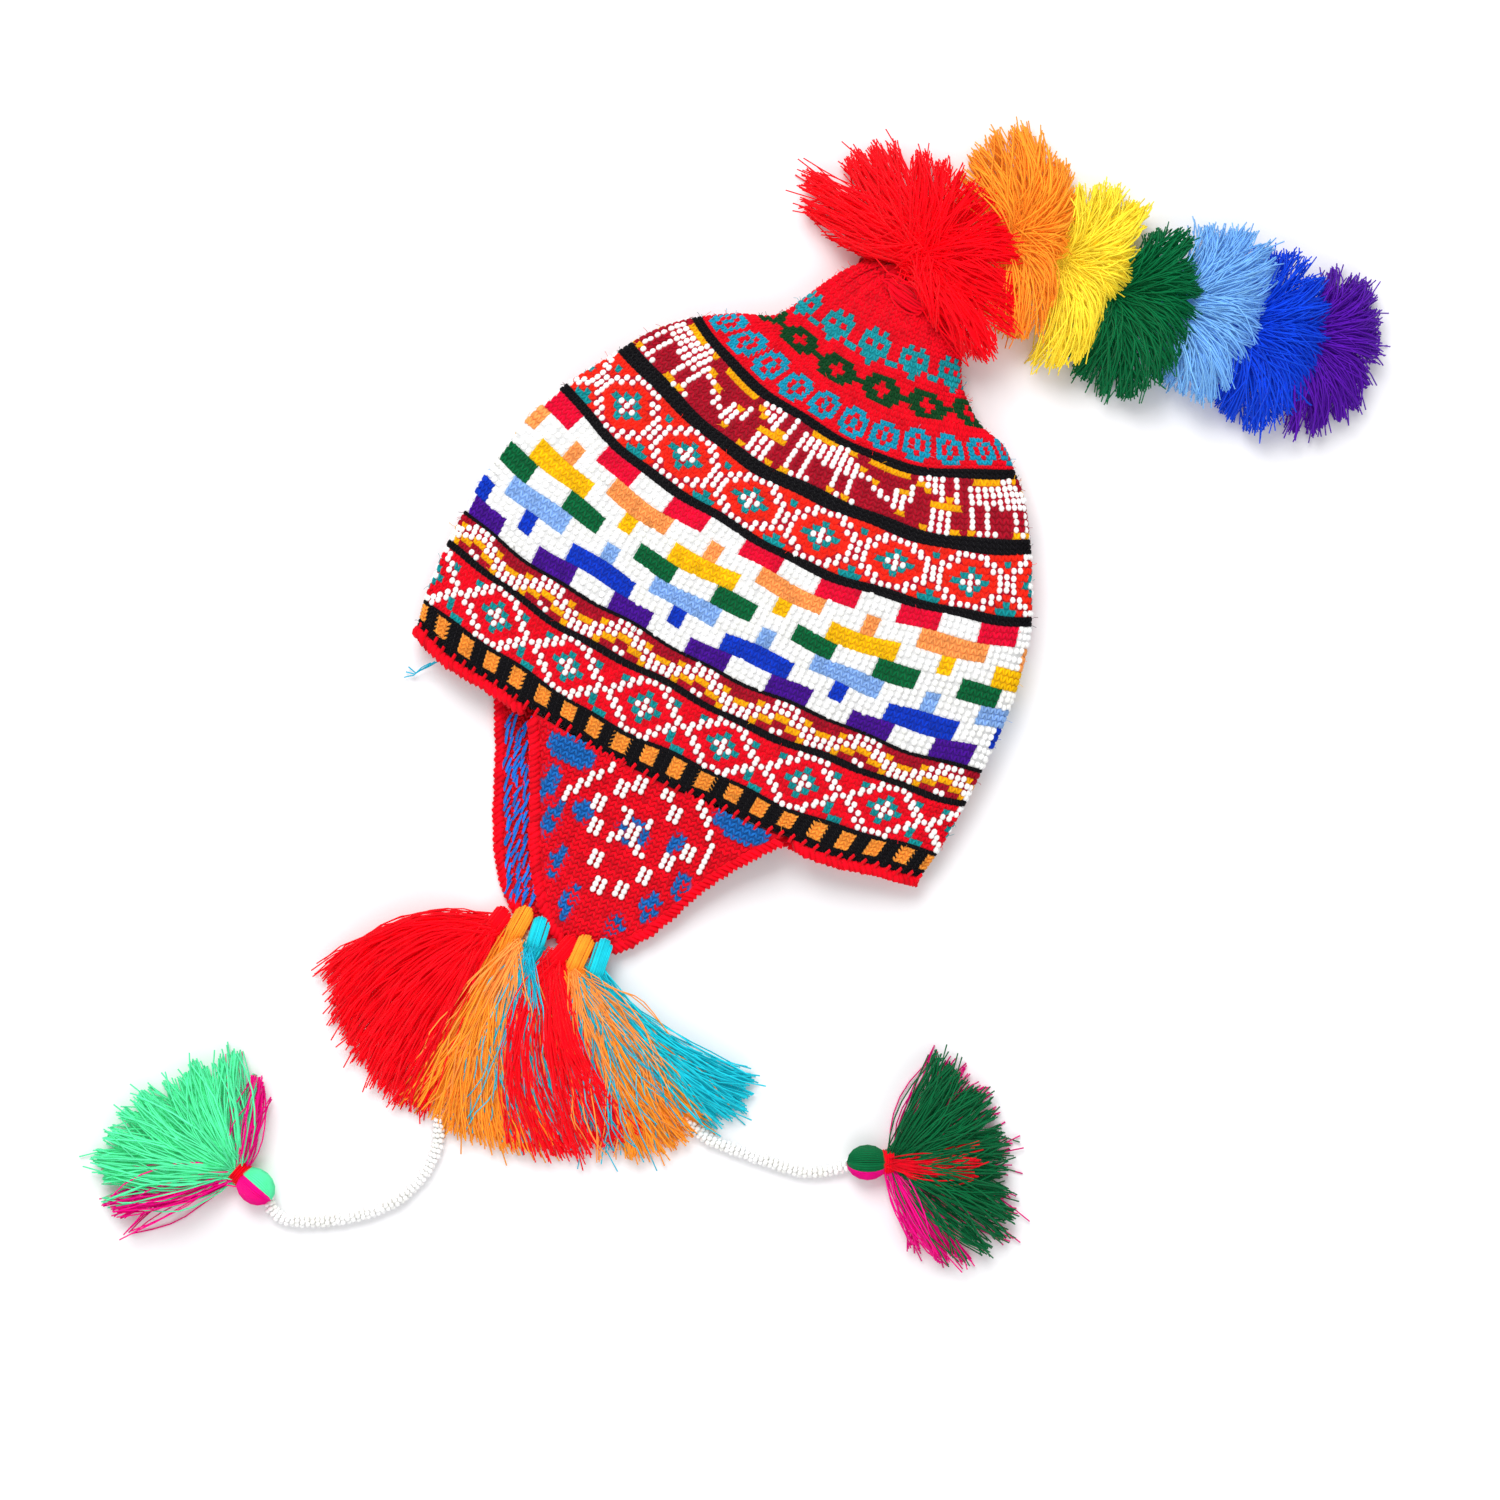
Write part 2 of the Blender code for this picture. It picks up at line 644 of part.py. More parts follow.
def tube(name, route, radius):
    """A round tube along a route, made a mesh."""
    curve = bpy.data.curves.new(name, "CURVE")
    curve.dimensions = "3D"
    curve.bevel_depth = radius
    curve.bevel_resolution = 2
    curve.use_fill_caps = True
    spline = curve.splines.new("POLY")
    spline.points.add(len(route) - 1)
    for place, point in zip(spline.points, route):
        place.co = (*point, 1.0)
    guide = bpy.data.objects.new(name + "_guide", curve)
    HAT.objects.link(guide)
    graph = bpy.context.evaluated_depsgraph_get()
    mesh = bpy.data.meshes.new_from_object(guide.evaluated_get(graph))
    bpy.data.objects.remove(guide, do_unlink=True)
    bm = bmesh.new()
    bm.from_mesh(mesh)
    bmesh.ops.remove_doubles(bm, verts=bm.verts, dist=WELD)
    return object_of(bm, name)


def make_rope(flap):
    """One beaded rope, from its flap's tip to the head of its end tassel."""
    route = rope_route(flap)
    finish(tube(f"{flap}_bead_rope", route, ROPE_DIAMETER / 2), "F4F4F2", roughness=0.3)
    start = route[0] + (route[0] - route[1]).normalized() * GAP
    end = route[-1] + (route[-1] - route[-2]).normalized() * GAP
    reach = [start] + route[1:-1] + [end]
    keep_as_cutter(tube(f"{flap}_rope_clearance", reach, ROPE_DIAMETER / 2 + GAP))


def bearing(degrees):
    """A unit vector in plan, anticlockwise from X."""
    return Vector((math.cos(math.radians(degrees)), math.sin(math.radians(degrees)), 0))


def lock_solid(start, route, rings, width, thickness, lift=0.0, swell=0.0):
    """One closed lock of yarn. route gives the plan position at a share of its way."""
    shapes = []
    for ring in rings:
        middle = route(ring.along)
        ahead = route(min(ring.along + LOCK_LOOK, 1.0)) - route(ring.along - LOCK_LOOK)
        side = Vector((-ahead.y, ahead.x, 0)).normalized()
        settled = (ring.height + lift) * thickness
        middle.z = start.z + (settled - start.z) * min(ring.along / LOCK_SETTLED, 1.0)
        half_width = ring.width * width / 2 + swell
        half_height = ring.thickness * thickness / 2 + swell
        shape = []
        for i in range(LOCK_SIDES):
            turn = 2 * math.pi * (i + 0.5) / LOCK_SIDES
            rise = Vector((0, 0, math.sin(turn) * half_height))
            shape.append(middle + side * math.cos(turn) * half_width + rise)
        shapes.append(shape)
    bm = bmesh.new()
    rows = loft(bm, shapes)
    first = route(0.0) - (route(LOCK_LOOK) - route(0.0)).normalized() * (LOCK_ROOT * width + swell)
    first.z = start.z
    close_to_point(bm, rows[0][::-1], first)
    tip = route(1.0) + (route(1.0) - route(1.0 - LOCK_LOOK)).normalized() * swell
    tip.z = (rings[-1].height * LOCK_TIP + lift) * thickness
    close_to_point(bm, rows[-1], tip)
    return object_of(bm, "lock")


def way_of(start, lead, turn, reach, index):
    """A lock's way in plan: it leaves its tie at one bearing and ends at another."""
    tip = start + bearing(turn) * reach
    first = start + bearing(lead) * LOCK_STEP * index
    corner = first + bearing(lead) * reach * LOCK_CORNER

    def way(share):
        return first * (1 - share) ** 2 + corner * 2 * share * (1 - share) + tip * share * share

    return way


def thinned(thickness, index):
    """The thickness of one lock among its neighbours."""
    return thickness * (1 - LOCK_THINNING * (index % LOCK_KINDS))


def fan_of_locks(start, locks, length, width, thickness):
    """Straight locks round a tie."""
    solids = []
    for index, lock in enumerate(locks):
        way = way_of(start, lock.turn, lock.turn, lock.reach * length, index)
        solids.append(lock_solid(start, way, POMPOM_RINGS, width, thinned(thickness, index), lock.lift))
    return solids


def ball(name, middle, diameter):
    """A round tie or head."""
    bm = bmesh.new()
    bmesh.ops.create_uvsphere(bm, u_segments=10, v_segments=6, radius=diameter / 2)
    bmesh.ops.translate(bm, verts=bm.verts, vec=middle)
    return object_of(bm, name)


def tie_of(pompom):
    """Where a pompom is tied: the first sits one gap off the crown's tip."""
    tip = tip_of_crown()
    first = Vector((tip.x, tip.y + POMPOM_TIE / 2 + GAP, POMPOM_TIE_HEIGHT))
    return first + Vector((pompom.along * POMPOM_PITCH, pompom.up * POMPOM_PITCH, 0))


def make_ground_cutter():
    """A block whose top is the ground, so that soft yarn lies flat on it."""
    bm = bmesh.new()
    bmesh.ops.create_cube(bm, size=1.0)
    side = GROUND_SPAN * CROWN_LENGTH
    bmesh.ops.scale(bm, verts=bm.verts, vec=(side, side, CROWN_DEPTH))
    bmesh.ops.translate(bm, verts=bm.verts, vec=(0, 0, -CROWN_DEPTH / 2))
    keep_as_cutter(object_of(bm, "ground"))


def make_pompom(pompom, following):
    """One pompom of yarn fanned out from its tie, pressed against the pompoms beside it."""
    tie = tie_of(pompom)
    obj = ball(pompom.name, tie, POMPOM_TIE)
    join_solids(obj, fan_of_locks(tie, pompom.locks, POMPOM_LENGTH, POMPOM_LOCK_WIDTH, POMPOM_THICKNESS))
    cut_by_all_cutters(obj)
    if pompom.lean is not None:
        normal = bearing(pompom.lean)
        keep_behind(obj, tie - normal * (POMPOM_TIE / 2), -normal)
    if following:
        normal = bearing(following.lean)
        keep_behind(obj, tie_of(following) - normal * (POMPOM_TIE / 2 + GAP), normal)
    finish(obj, pompom.colour)


def flap_tassel_solid(name, tassel, swell=0.0):
    """The fused locks of a flap's tassel."""
    tip = flap_tip(tassel.flap)
    height = ROPE_DIAMETER + GAP if tassel.flap == "far" else ROPE_DIAMETER + BINDING_THICKNESS
    tie = Vector((tip.x + tassel.across * FLAP_TIE, tip.y - tassel.down * FLAP_TIE, height))
    locks = []
    for index, lock in enumerate(tassel.locks):
        way = way_of(tie, lock.lead, lock.turn, lock.reach * FLAP_TASSEL_LENGTH, index)
        thickness = thinned(FLAP_TASSEL_THICKNESS, index)
        locks.append(lock_solid(tie, way, TASSEL_RINGS, FLAP_LOCK_WIDTH, thickness, swell=swell))
    obj = ball(name, tie, FLAP_TIE + 2 * swell)
    join_solids(obj, locks)
    return obj


def make_flap_tassel(tassel):
    """One bundle of yarn tied at a flap's tip, over its rope and beside the bundles made before it."""
    obj = flap_tassel_solid(tassel.name, tassel)
    cut_by_all_cutters(obj)
    drop_scraps(obj)
    finish(obj, tassel.colour)
    keep_as_cutter(flap_tassel_solid(tassel.name + "_clearance", tassel, swell=GAP))


def make_end_tassel(tassel):
    """The round head, wrapped neck and fanned skirt at a rope's end."""
    route = rope_route(tassel.rope)
    along = (route[-1] - route[-2]).normalized()
    head = route[-1] + along * (END_HEAD_DIAMETER / 2)
    head.z = END_HEAD_DIAMETER / 2
    middle_turn = sum(lock.turn for lock in tassel.locks) / len(tassel.locks)
    neck = head + bearing(middle_turn) * END_NECK_OFFSET
    locks = fan_of_locks(neck, tassel.locks, END_TASSEL_LENGTH, END_LOCK_WIDTH, END_TASSEL_THICKNESS)
    obj = ball(tassel.name, head, END_HEAD_DIAMETER)
    join_solids(obj, [ball("neck", neck, END_NECK_DIAMETER)] + locks)
    cut_by_all_cutters(obj)
    finish(obj, tassel.colour)


def make_hat():
    make_crown()
    for flap in ("near", "far"):
        make_flap(flap)
        make_flap_binding(flap)
    make_hem_binding(-1, "hem_binding_left")
    make_hem_binding(1, "hem_binding_right")
    make_ground_cutter()
    for flap in ("near", "far"):
        make_rope(flap)
    for tassel in END_TASSELS:
        make_end_tassel(tassel)
    for pompom, following in zip(POMPOMS, POMPOMS[1:] + (None,)):
        make_pompom(pompom, following)
    for tassel in FLAP_TASSELS:
        make_flap_tassel(tassel)


make_hat()
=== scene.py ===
"""The looks of a knitted and beaded chullo hat that lies flat, photographed from straight above.

Yarn is acrylic, and the beads are opaque white glass. Sizes are in millimetres until a mesh is made. The
knit's flat sizes and the stage are in metres.
"""

import math
from collections import namedtuple

import bpy
import numpy as np
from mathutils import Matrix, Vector


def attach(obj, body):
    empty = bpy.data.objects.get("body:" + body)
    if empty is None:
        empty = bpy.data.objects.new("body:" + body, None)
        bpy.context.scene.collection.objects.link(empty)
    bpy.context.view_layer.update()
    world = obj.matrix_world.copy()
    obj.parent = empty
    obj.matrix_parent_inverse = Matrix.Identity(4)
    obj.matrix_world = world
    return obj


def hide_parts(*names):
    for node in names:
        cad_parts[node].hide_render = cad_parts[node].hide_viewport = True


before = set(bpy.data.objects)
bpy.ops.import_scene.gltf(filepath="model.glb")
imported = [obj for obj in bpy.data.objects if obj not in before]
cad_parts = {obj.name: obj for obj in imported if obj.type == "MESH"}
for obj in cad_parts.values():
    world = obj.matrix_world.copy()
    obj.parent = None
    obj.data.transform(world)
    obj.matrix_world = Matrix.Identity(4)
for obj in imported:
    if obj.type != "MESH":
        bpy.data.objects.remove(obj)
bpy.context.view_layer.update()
MM = 0.001
BODY = "root"

# Sizes of the crown and its flaps, as the solids have them
CROWN_HALF_WIDTH = 131.5
CROWN_LENGTH = 258.0
CROWN_DEPTH = 41.0
HEM_DROP = 8.3
ROW_BOW = 24.0
FOLD_HEIGHT = 17.0
WALL = 3.2
GAP = 0.3
FLAP_HALF_WIDTH = 60.0
FLAP_LENGTH = 82.0
FLAP_X = {"near": 2.0, "far": -17.0}
FLAP_FALL_POWER = 1.8
BINDING_WIDTH = 5.6
BINDING_THICKNESS = 4.0
ROW_POWER = 2.3
FLAT_FROM = 0.7
TIP_SHIFT = 0.023

# Sizes of the yarn work
POMPOM_PITCH = 28.0
POMPOM_LENGTH = 45.0
POMPOM_THICKNESS = 27.0
POMPOM_TIE = 15.0
POMPOM_TIE_HEIGHT = 12.4
FLAP_TASSEL_LENGTH = 90.0
FLAP_TASSEL_THICKNESS = 18.0
FLAP_TIE = 9.4
ROPE_DIAMETER = 6.3
END_TASSEL_LENGTH = 60.0
END_TASSEL_THICKNESS = 22.0
END_HEAD_DIAMETER = 16.0
END_NECK_DIAMETER = 12.0
END_NECK_OFFSET = 10.1

# Loose yarn: how many strands, and how much the strands of one piece differ in shade. A strand lies at its
# own height after the share SETTLED of its way, and no middle of one lies lower than LOWEST_YARN.
FIRST_POMPOM_STRANDS = 1200
POMPOM_STRANDS = 860
END_TASSEL_STRANDS = 760
BUNDLE_STRANDS = 60
LOOP_STRANDS = 30
WOUND_STRANDS = 44
YARN_SPREAD = 0.09
SETTLED = 0.3
LOWEST_YARN = 0.7
STRAND_STEPS = 8
FLAP_TASSEL_STEPS = 10
TANGLE_STEPS = 12

# A pompom's strands lean along the cord by POMPOM_LEAN. Past OVER_FROM of the way to the next tie they rise
# over the next pompom, within OVER_RUN, and the first pompom's rise over the crown in the same way.
POMPOM_LEAN = 9.0
POMPOM_TOP = 40
OVER_FROM = 0.45
OVER_RUN = 14
OVER_LIFT = 9
OVER_CROWN_FROM = 8
OVER_CROWN_RUN = 12
OVER_CROWN_LIFT = 14

# Beads and cord of the ropes, and the spacing of the points that give a rope's end its direction
ROPE_BEAD_WIDTH = 2.9
ROPE_BEAD_HEIGHT = 2.4
ROPE_BEADS_ROUND = 5
ROPE_BEAD_STEP = 2.3
ROPE_BEAD_TILT = 0.35
ROPE_TWIST = 0.11
ROPE_CORD_WIDTH = 3.6
ROPE_POINT_SPACING = 13.9

# The crocheted edge and the stitches that hold it to the hem
CROCHET_STEP = 2.6
CROCHET_WIDTH = 2.9
WHIP_STEP = 5.6
WHIP_HEIGHT = 2.6
WHIP_SLANT = 0.0012

# The knit: the cloth's own face lies under the surface that the beads reach, and it is a little darker than
# its
# stitches, on the crown and on the flaps: painted shade in the gaps between them. Stitches and fuzz are made
# where the wall's outward vector is higher than this.
STITCHES_FROM = -0.45
FUZZ_FROM = -0.1
FUZZ_COUNT = 1500
FUZZ_WIDTH = 0.22
STITCH_SPREAD = 0.07
CLOTH_TOP = 248.6
CLOTH_TIP = 1.2
CLOTH_PAINTED_SHADE = (0.72, 0.72, 0.72, 1.0)
FLAP_CLOTH_PAINTED_SHADE = (0.68, 0.68, 0.68, 1)
KNIT_INSET = 1.25
KNIT_THICKNESS = 1.5
BEAD_WIDTH = 2.95
BEAD_HEIGHT = 3.2
WOBBLE = 0.75
PUCKERS = 26
PUCKER_DEPTH = 0.9
PUCKER_FROM = 0.84
RING_SAMPLES = 720
COLUMNS_ROUND = 168

Section = namedtuple("Section", "rise half_width shift depth bow")
Dent = namedtuple("Dent", "across rise radius depth")
Band = namedtuple("Band", "low high round first chart")
Patch = namedtuple("Patch", "x y half_width half_height share")
KnitRow = namedtuple("KnitRow", "low middle high round letters")
Stitch = namedtuple("Stitch", "place across upward out letter")
Pompom = namedtuple("Pompom", "name slot colour along up locks")
Tassel = namedtuple("Tassel", "node slot colour flap across down edge count lift locks")
Tangle = namedtuple("Tangle", "name slot colour flap across low high count")
EndTassel = namedtuple("EndTassel", "node flap locks colours under head bundle")

# Rows of the crown from the hem to the tip, as shares of the named sizes
CROWN_SECTIONS = (
    Section(rise=0.000, half_width=0.970, shift=0.008, depth=0.61, bow=0.54),
    Section(rise=0.060, half_width=0.989, shift=0.006, depth=0.70, bow=0.54),
    Section(rise=0.148, half_width=1.000, shift=0.004, depth=0.80, bow=0.54),
    Section(rise=0.214, half_width=0.998, shift=0.006, depth=0.87, bow=0.53),
    Section(rise=0.288, half_width=0.992, shift=0.008, depth=0.93, bow=0.67),
    Section(rise=0.369, half_width=0.964, shift=0.014, depth=0.98, bow=0.83),
    Section(rise=0.446, half_width=0.904, shift=0.024, depth=1.00, bow=1.00),
    Section(rise=0.530, half_width=0.816, shift=0.027, depth=1.00, bow=1.00),
    Section(rise=0.600, half_width=0.728, shift=0.032, depth=0.97, bow=1.00),
    Section(rise=0.667, half_width=0.614, shift=0.038, depth=0.91, bow=0.97),
    Section(rise=0.721, half_width=0.520, shift=0.046, depth=0.84, bow=0.76),
    Section(rise=0.776, half_width=0.398, shift=0.044, depth=0.74, bow=0.42),
    Section(rise=0.806, half_width=0.348, shift=0.036, depth=0.69, bow=0.35),
    Section(rise=0.841, half_width=0.312, shift=0.028, depth=0.65, bow=0.29),
    Section(rise=0.907, half_width=0.252, shift=0.030, depth=0.60, bow=0.21),
    Section(rise=0.954, half_width=0.182, shift=0.030, depth=0.52, bow=0.17),
    Section(rise=0.985, half_width=0.100, shift=0.024, depth=0.36, bow=0.10),
    Section(rise=1.000, half_width=0.012, shift=0.023, depth=0.30, bow=0.05),
)
CROWN_DENTS = (
    Dent(across=-0.55, rise=0.16, radius=0.24, depth=0.07),
    Dent(across=0.62, rise=0.20, radius=0.22, depth=0.06),
    Dent(across=0.10, rise=0.33, radius=0.40, depth=-0.04),
    Dent(across=-0.42, rise=0.60, radius=0.20, depth=0.05),
    Dent(across=0.40, rise=0.62, radius=0.20, depth=0.05),
)
FLAP_ROWS = ((0.0, 1.0), (0.12, 0.90), (0.28, 0.78), (0.44, 0.67), (0.60, 0.57), (0.75, 0.45), (0.87, 0.32),
             (0.95, 0.19), (1.0, 0.07))

# The ear flaps' knit: a stitch's size, the cloth's thickness, rows and columns, how far the cloth reaches
# under the crocheted edge and that edge over the hem, and by what share the near flap's right edge is drawn
# in
FLAP_STITCH = 3.3
FLAP_ROW = 2.6
FLAP_CLOTH = 1.6
CLOTH_UNDER_EDGE = 2.6
EDGE_OVERLAP = 1.0
FLAP_CLOTH_ROWS = 35
FLAP_CLOTH_COLUMNS = 38
FLAP_DRAWN_IN = 0.12
FLAP_BEAD_RISE = 0.7
BEAD_LINE_REACH = 1.9
FLAP_FOOT = -HEM_DROP - GAP - FLAP_LENGTH
NEAR_FLAP_REST = BINDING_THICKNESS * 1.5 + GAP

# What the near flap shows: lines of beads, of which the last four make a flower, blocks of beads, and blue
# patches
FLAP_CHAINS = (
    ((-17, -10), (-22, -18), (-28.5, -25.6), (-33, -35)),
    ((24, -8), (31.6, -16), (39, -27), (38, -36)),
    ((-4, -27), (3, -35)),
    ((9, -27), (3, -35)),
    ((-5, -42), (3, -35)),
    ((10, -43), (3, -35)),
)
FLAP_BLOCKS = (
    (-11, -19), (-3, -14), (10, -12), (17, -19), (28, -32), (24, -41), (17, -51), (10, -61), (0, -62),
    (-7, -52), (-14, -41), (-16, -29),
)
FLAP_PATCHES = (
    Patch(x=-38, y=-14, half_width=12, half_height=6, share=1.0),
    Patch(x=46, y=-11, half_width=13, half_height=6, share=1.0),
    Patch(x=-21, y=-36, half_width=4.5, half_height=5, share=0.8),
    Patch(x=22, y=-30, half_width=3.5, half_height=6, share=0.8),
    Patch(x=3, y=-35, half_width=8, half_height=6, share=0.9),
    Patch(x=-41, y=-31, half_width=3.5, half_height=9, share=0.7),
    Patch(x=-32, y=-46, half_width=3.5, half_height=9, share=0.7),
    Patch(x=-22, y=-62, half_width=3.5, half_height=9, share=0.7),
    Patch(x=-9, y=-76, half_width=3.5, half_height=8, share=0.7),
    Patch(x=34, y=-47, half_width=4, half_height=7, share=0.6),
    Patch(x=25, y=-62, half_width=4, half_height=7, share=0.6),
    Patch(x=14, y=-76, half_width=4, half_height=6, share=0.6),
)

# The blue floats on the far flap's inner side run from one end to the other, over this half width
FLOATS_TOP = (-66, -12)
FLOATS_FOOT = (-29, -84)
FLOATS_HALF_WIDTH = 5.5
FLOAT_WIDTH = 1.7
FLOAT_REACH = 3.4
FLOAT_SINK = 0.7
FLOAT_RISE = 0.5

# Yarn and bead colours, sRGB, by the letter that stands for each in the charts
COLOURS = {
    ".": "F20020", "R": "FC2814", "d": "B00826", "K": "0C0A10", "W": "FFFFFF", "w": "FFFFFF",
    "t": "0E9AA0", "g": "FFB400", "o": "FFA23C", "p": "4B0C96", "b": "0A3CC8", "l": "8FB8F0",
    "G": "00693A", "y": "FFC800", "e": "FFA65A", "c": "EE0038", "u": "12A4C6", "n": "0A4A22",
    "f": "1C74C8", "F": "1E74D8", "q": "18A0AC",
}
GROUND_UNDER_BEADS = {"W": "C8102C", "w": "FFFFFF"}

HEM = ("KKKK", "ooKK", "ooKK", "ooKK", "ooKK", "KKKK", "KKKK")
LOZENGES = (
    "...WWWWW....",
    ".tWW...WWt..",
    ".WW..t..WW..",
    "WW..tWt..WW.",
    "W..tWWWt..WW",
    "WW..tWt..WW.",
    ".WW..t..WWt.",
    "..WW...WW.t.",
    "t..WWWWW...t",
)
STEPS = (
    "ddddWWWWdddd",
    "ddgWWWWWWgdd",
    "gWWWWggWWWWg",
    "WWWggddggWWW",
    "WWgddWWddgWW",
)
BLOCKS = (
    ("ccccccwwwwwwccccccwwwwww",) * 3
    + ("wwwweeeeeeeeeewwwwwweeww",) * 3
    + ("yywwwwwwyywwwwwwyyyyyyyy",) * 3
    + ("GGGGGGwwwwwwGGGGGGwwwwww",) * 3
    + ("llwwwwwwllwwwwwwllllllll",) * 3
    + ("wwwwbbbbbbbbbbwwwwwwbbww",) * 3
    + ("ppppppwwwwwwppppppwwwwww",) * 3
)
UPPER_LOZENGES = (
    "RRWWWWWRRR",
    "RWWRRRWWRt",
    "WWRRtRRWWR",
    "WRRtWtRRWW",
    "WRtWWWtRWW",
    "WRRtWtRRWW",
    "WWRRtRRWWR",
    "RWWRRRWWRt",
    "tRWWWWWRtt",
)
LLAMAS = (
    "dggggWWgddggggggdWWWWdWd",
    "WWWWWWWWdddddddddgWWWdWd",
    "WWWWWWWWWgddddddWdgWWdWd",
    "WWWWWWWWWWWgddWgWdddWgWd",
    "WdWdWWWWWddWWdWWWddggggd",
    "WdWdddWdWdddWWWWdddWWWdd",
    "WdWdddWdWdddddWWdddWWWdd",
    "WdWdddWdWddddddgdddWWWdd",
    "gWWWddgWgWddddddddgWWWgd",
)
FLOWERS = (
    ".uuu..",
    "uu.uu.",
    "u.u.u.",
    "u.u.u.",
    "uu.uu.",
    ".uuu..",
)
CHAIN = (
    "..nnnnn..",
    ".nnn.nnn.",
    "nnn...nnn",
    ".nnn.nnn.",
    "..nnnnn..",
)
TEAL = (
    "..q.q..",
    ".qqqqq.",
    ".q.q.q.",
    ".qqqqq.",
    "q.qqq.q",
    "...q...",
)

# Bands from the hem up: low and high at the hat's middle, stitches round, the place of the chart's first
# stitch counted from the middle, and the chart, top row first
BANDS = (
    Band(-8.3, 5.4, 156, -3.0, HEM),
    Band(5.4, 29.8, 168, -11.5, LOZENGES),
    Band(29.8, 33.0, 168, 0.0, ("K",)),
    Band(33.0, 46.7, 168, -6.0, STEPS),
    Band(46.7, 48.3, 168, 0.0, ("K",)),
    Band(48.3, 105.2, 168, -4.0, BLOCKS),
    Band(105.2, 109.2, 168, 0.0, ("K", "K")),
    Band(109.2, 133.5, 140, -10.0, UPPER_LOZENGES),
    Band(133.5, 139.6, 140, 0.0, ("K", "K", "K")),
    Band(139.6, 162.0, 120, -4.0, LLAMAS),
    Band(162.0, 166.0, 120, 0.0, ("K", "K")),
    Band(166.0, 167.6, 132, 0.0, (".",)),
    Band(167.6, 181.6, 132, -7.0, FLOWERS),
    Band(181.6, 187.2, 120, 0.0, (".", ".")),
    Band(187.2, 199.0, 99, -1.0, CHAIN),
    Band(199.0, 201.0, 88, 0.0, (".",)),
    Band(201.0, 217.0, 70, -4.0, TEAL),
    Band(217.0, 222.2, 64, 0.0, (".", ".")),
    Band(222.2, 227.4, 60, 0.0, (".", ".")),
    Band(227.4, 232.6, 54, 0.0, (".", ".")),
    Band(232.6, 237.8, 48, 0.0, (".", ".")),
    Band(237.8, 245.4, 36, 0.0, (".", ".", ".")),
)


def linear(hex_value):
    """The linear colour of an sRGB hex value."""
    shares = [int(hex_value[i : i + 2], 16) / 255 for i in (0, 2, 4)]
    return [c / 12.92 if c <= 0.04045 else ((c + 0.055) / 1.055) ** 2.4 for c in shares] + [1.0]


def node(tree, kind, settings=None, inputs=None):
    """Adds a node with its own settings, and gives its inputs values or links."""
    made = tree.nodes.new(kind)
    for name, value in (settings or {}).items():
        setattr(made, name, value)
    for name, value in (inputs or {}).items():
        if isinstance(value, bpy.types.NodeSocket):
            tree.links.new(value, made.inputs[name])
        else:
            made.inputs[name].default_value = value
    return made


def object_of(name, points, edges=(), faces=(), attributes=None):
    """An object of points in millimetres, with its edges, faces and named point attributes."""
    mesh = bpy.data.meshes.new(name)
    mesh.from_pydata(np.asarray(points, float) * MM, edges, faces)
    for key, (kind, values) in (attributes or {}).items():
        layer = mesh.attributes.new(key, kind, "POINT")
        field = "color" if kind == "FLOAT_COLOR" else "vector" if kind == "FLOAT_VECTOR" else "value"
        layer.data.foreach_set(field, np.asarray(values, np.float32).ravel())
    obj = bpy.data.objects.new(name, mesh)
    bpy.context.scene.collection.objects.link(obj)
    return obj


def evaluated(obj, name):
    """The object as its modifiers make it, as a plain mesh."""
    graph = bpy.context.evaluated_depsgraph_get()
    mesh = bpy.data.meshes.new_from_object(obj.evaluated_get(graph), depsgraph=graph)
    mesh.name = name
    materials = [m for m in mesh.materials if m]
    bpy.data.objects.remove(obj, do_unlink=True)
    made = bpy.data.objects.new(name, mesh)
    if not materials:
        mesh.materials.clear()
    bpy.context.scene.collection.objects.link(made)
    return made


def grown(source, tree, name, values):
    """What a Geometry Nodes tree grows on the source, as a plain mesh."""
    modifier = source.modifiers.new("grown", "NODES")
    modifier.node_group = tree
    for item in tree.interface.items_tree:
        if item.in_out == "INPUT" and item.name in values:
            modifier[item.identifier] = values[item.name]
    return evaluated(source, name)


def new_tree(name, sizes):
    """A geometry tree with its named sizes, and its two ends."""
    tree = bpy.data.node_groups.new(name, "GeometryNodeTree")
    tree.interface.new_socket("Geometry", in_out="INPUT", socket_type="NodeSocketGeometry")
    for label, value in sizes.items():
        kind = "NodeSocketInt" if isinstance(value, int) else "NodeSocketFloat"
        tree.interface.new_socket(label, in_out="INPUT", socket_type=kind).default_value = value
    tree.interface.new_socket("Material", in_out="INPUT", socket_type="NodeSocketMaterial")
    tree.interface.new_socket("Geometry", in_out="OUTPUT", socket_type="NodeSocketGeometry")
    return tree, node(tree, "NodeGroupInput"), node(tree, "NodeGroupOutput")


def named(tree, name, kind):
    """A named attribute of the points."""
    found = node(tree, "GeometryNodeInputNamedAttribute", {"data_type": kind}, {"Name": name})
    return found.outputs["Attribute"]


def combine(tree, x, y, z):
    """A vector of three values."""
    return node(tree, "ShaderNodeCombineXYZ", None, {"X": x, "Y": y, "Z": z}).outputs["Vector"]


def worked_out(tree, operation, first, second):
    """What one operation makes of two values."""
    return node(tree, "ShaderNodeMath", {"operation": operation}, {0: first, 1: second}).outputs["Value"]


def transformed(tree, geometry, inputs):
    """The geometry moved, turned or scaled."""
    return node(tree, "GeometryNodeTransform", None, {"Geometry": geometry, **inputs}).outputs["Geometry"]


